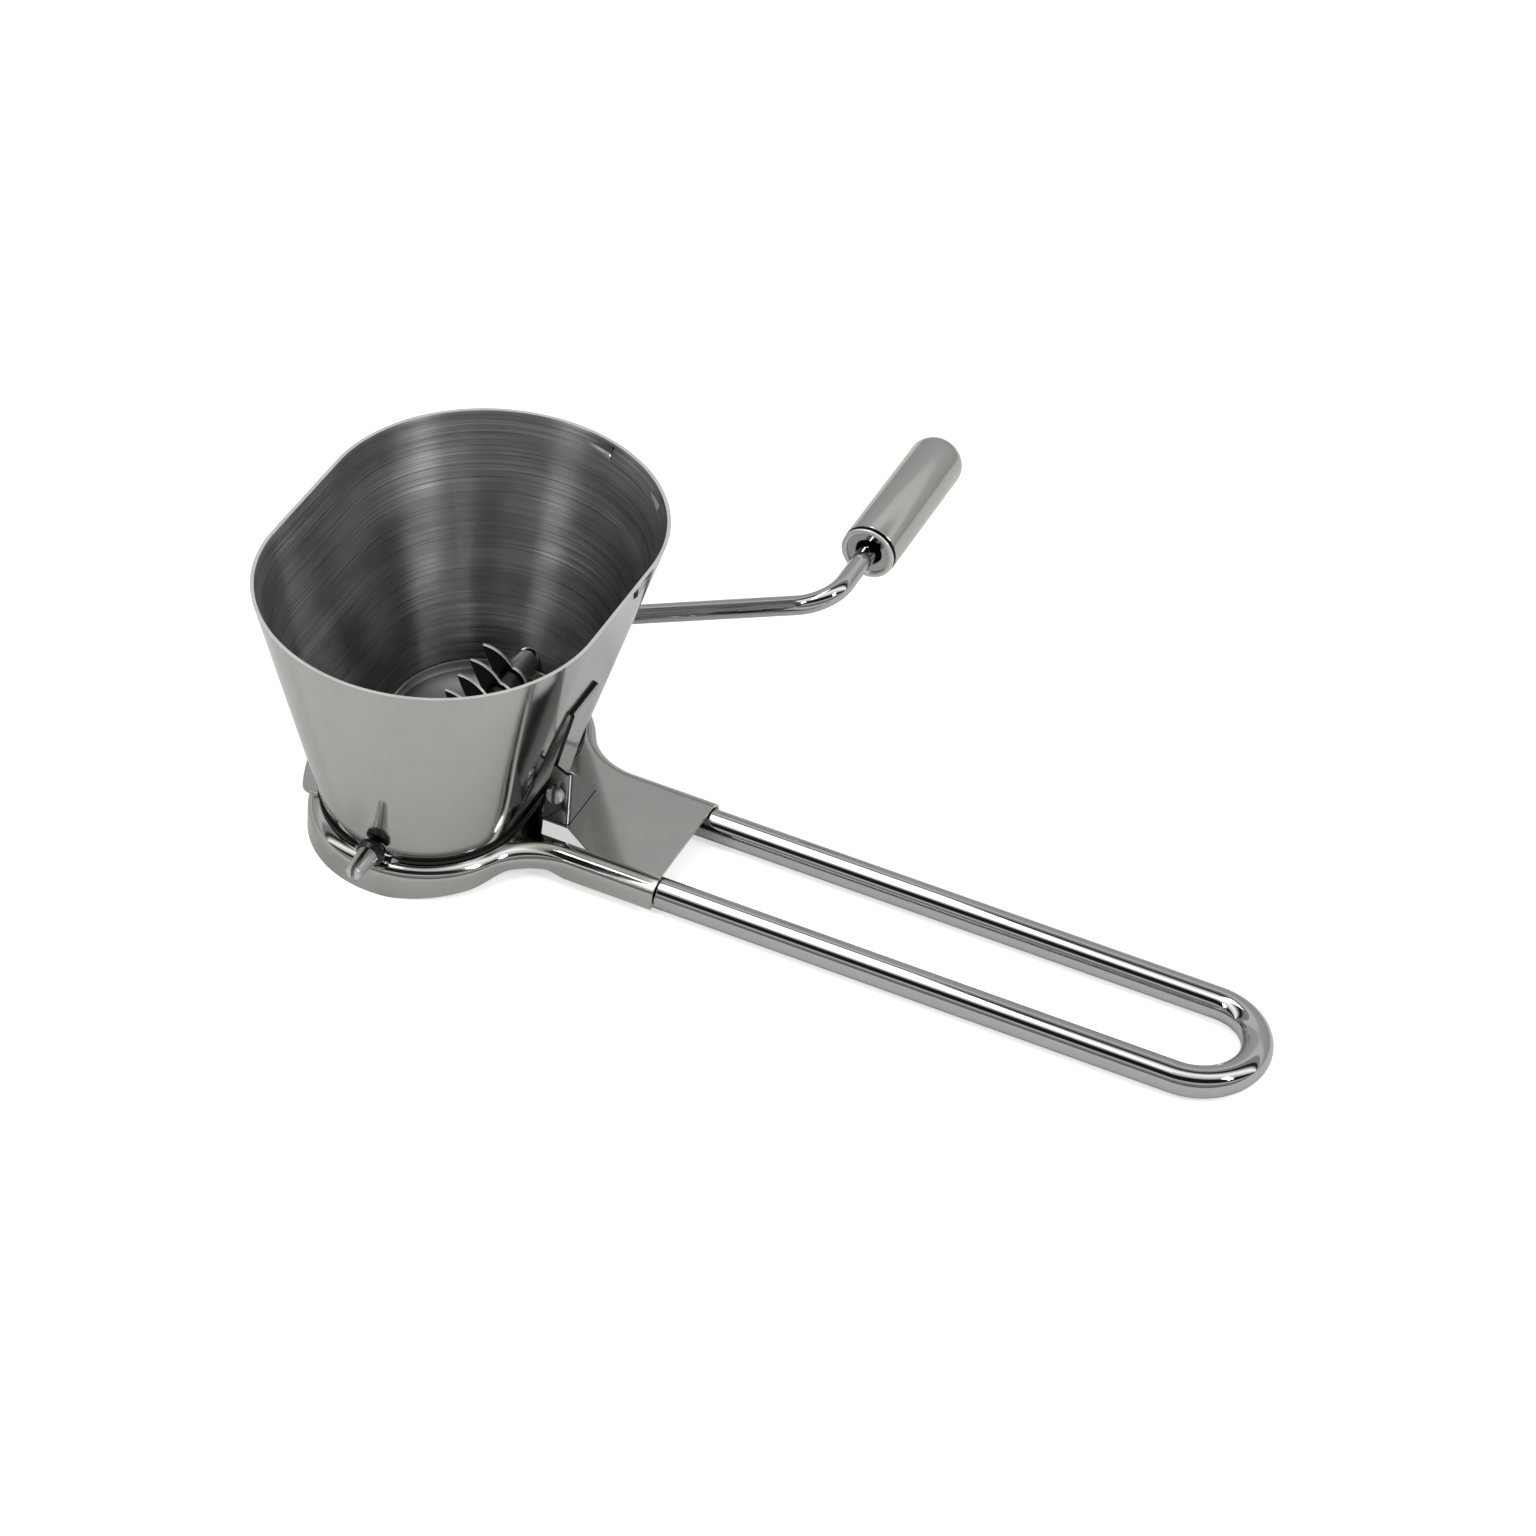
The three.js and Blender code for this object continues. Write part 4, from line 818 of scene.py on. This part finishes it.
# the room is a light tent seen from inside: bands from the back horizon over the top to the front horizon,
# as (degrees from the zenith towards the front, brightness)
tentBands = [(-90, 0.5), (-62, 0.62), (-49, 0.66), (-46, 0.92), (-37, 0.98), (-35, 0.45), (-25, 0.4),
             (-22, 0.03), (-14, 0.03), (-10, 0.7), (-6, 0.9), (-1, 2.0), (9, 2.0), (16, 1.2),
             (24, 1.1), (28, 0.3), (31, 0.02), (54, 0.02), (57, 0.4), (60, 1.0), (64, 0.8),
             (70, 0.4), (90, 0.2)]
way = addNode(tree, "ShaderNodeTexCoord").outputs["Generated"]
frontWay = np.array([np.sin(np.radians(21.0)), -np.cos(np.radians(21.0)), 0])
towards = addNode(tree, "ShaderNodeVectorMath", {0: way}, {1: frontWay}, operation="DOT_PRODUCT").outputs["Value"]
height = addNode(tree, "ShaderNodeSeparateXYZ", {"Vector": way}).outputs["Z"]
angle = addNode(tree, "ShaderNodeMath", {0: towards, 1: height}, operation="ARCTAN2").outputs["Value"]
share = addNode(tree, "ShaderNodeMapRange", {"Value": angle},
                {"From Min": -np.pi / 2, "From Max": np.pi / 2, "To Min": 0.0, "To Max": 1.0})
ramp = addNode(tree, "ShaderNodeValToRGB", {"Fac": share.outputs["Result"]})
bands = ramp.color_ramp.elements
while len(bands) < len(tentBands):
    bands.new(0.5)
for band, (degrees, bright) in zip(bands, tentBands):
    band.position = (degrees + 90) / 180
    band.color = (bright, bright, bright, 1.0)
air = addNode(tree, "ShaderNodeBackground", {"Color": ramp.outputs["Color"]}, {"Strength": stageLook["roomStrength"]})
addNode(tree, "ShaderNodeOutputWorld", {"Surface": air.outputs["Background"]})


def softBox(name, at, aim, size, power):
    lamp = bpy.data.lights.new(name, "AREA")
    lamp.shape = "RECTANGLE"
    lamp.size, lamp.size_y = size
    lamp.energy = power
    made = bpy.data.objects.new(name, lamp)
    made.location = at
    made.rotation_euler = (Vector(aim) - Vector(at)).to_track_quat("-Z", "Y").to_euler()
    bpy.context.scene.collection.objects.link(made)


# a box overhead, and two tall narrow ones whose light runs up and down the brushed wall inside the hopper:
# place and aim in metres, width and height, watts
softBoxes = dict(top_box=((-0.3, -0.05, 1.1), (0, 0, 0), (0.9, 0.24), 2.3),
                 right_box=((0.9, -0.21, 0.77), (0, 0, 0.04), (0.14, 0.4), 4.6),
                 left_box=((-0.5, -0.77, 0.77), (0, 0, 0.04), (0.12, 0.4), 3.2))
for boxName, settings in softBoxes.items():
    softBox(boxName, *settings)

# Camera: direction, turn about the view and distance found by fitting the solids to the photograph
viewSizes = dict(azimuth=21.03, elevation=39.85, roll=5.37, distance=1093.74, focal=5194.6, target=(54.91, 38.24),
                 imageWidth=1536, sensor=36.0)
v = viewSizes
az, el, roll = np.radians([v["azimuth"], v["elevation"], v["roll"]])
backWay = np.array([np.sin(az) * np.cos(el), -np.cos(az) * np.cos(el), np.sin(el)])
rightWay = np.array([np.cos(az), np.sin(az), 0])
upWay = np.cross(backWay, rightWay)
rightWay, upWay = rightWay * np.cos(roll) + upWay * np.sin(roll), upWay * np.cos(roll) - rightWay * np.sin(roll)
eye = (np.array([*v["target"], 0]) + middle + backWay * v["distance"]) * mm
lens = bpy.data.cameras.new("photo_camera")
lens.sensor_width = v["sensor"]
lens.lens = v["focal"] / v["imageWidth"] * v["sensor"]
lens.clip_end = 100
camera = bpy.data.objects.new("photo_camera", lens)
camera.matrix_world = Matrix.Translation(eye) @ Matrix(np.stack([rightWay, upWay, backWay], 1).tolist()).to_4x4()
bpy.context.scene.collection.objects.link(camera)
bpy.context.scene.camera = camera
bpy.context.scene.view_settings.view_transform = "Standard"
print("stage done")

bpy.context.view_layer.update()
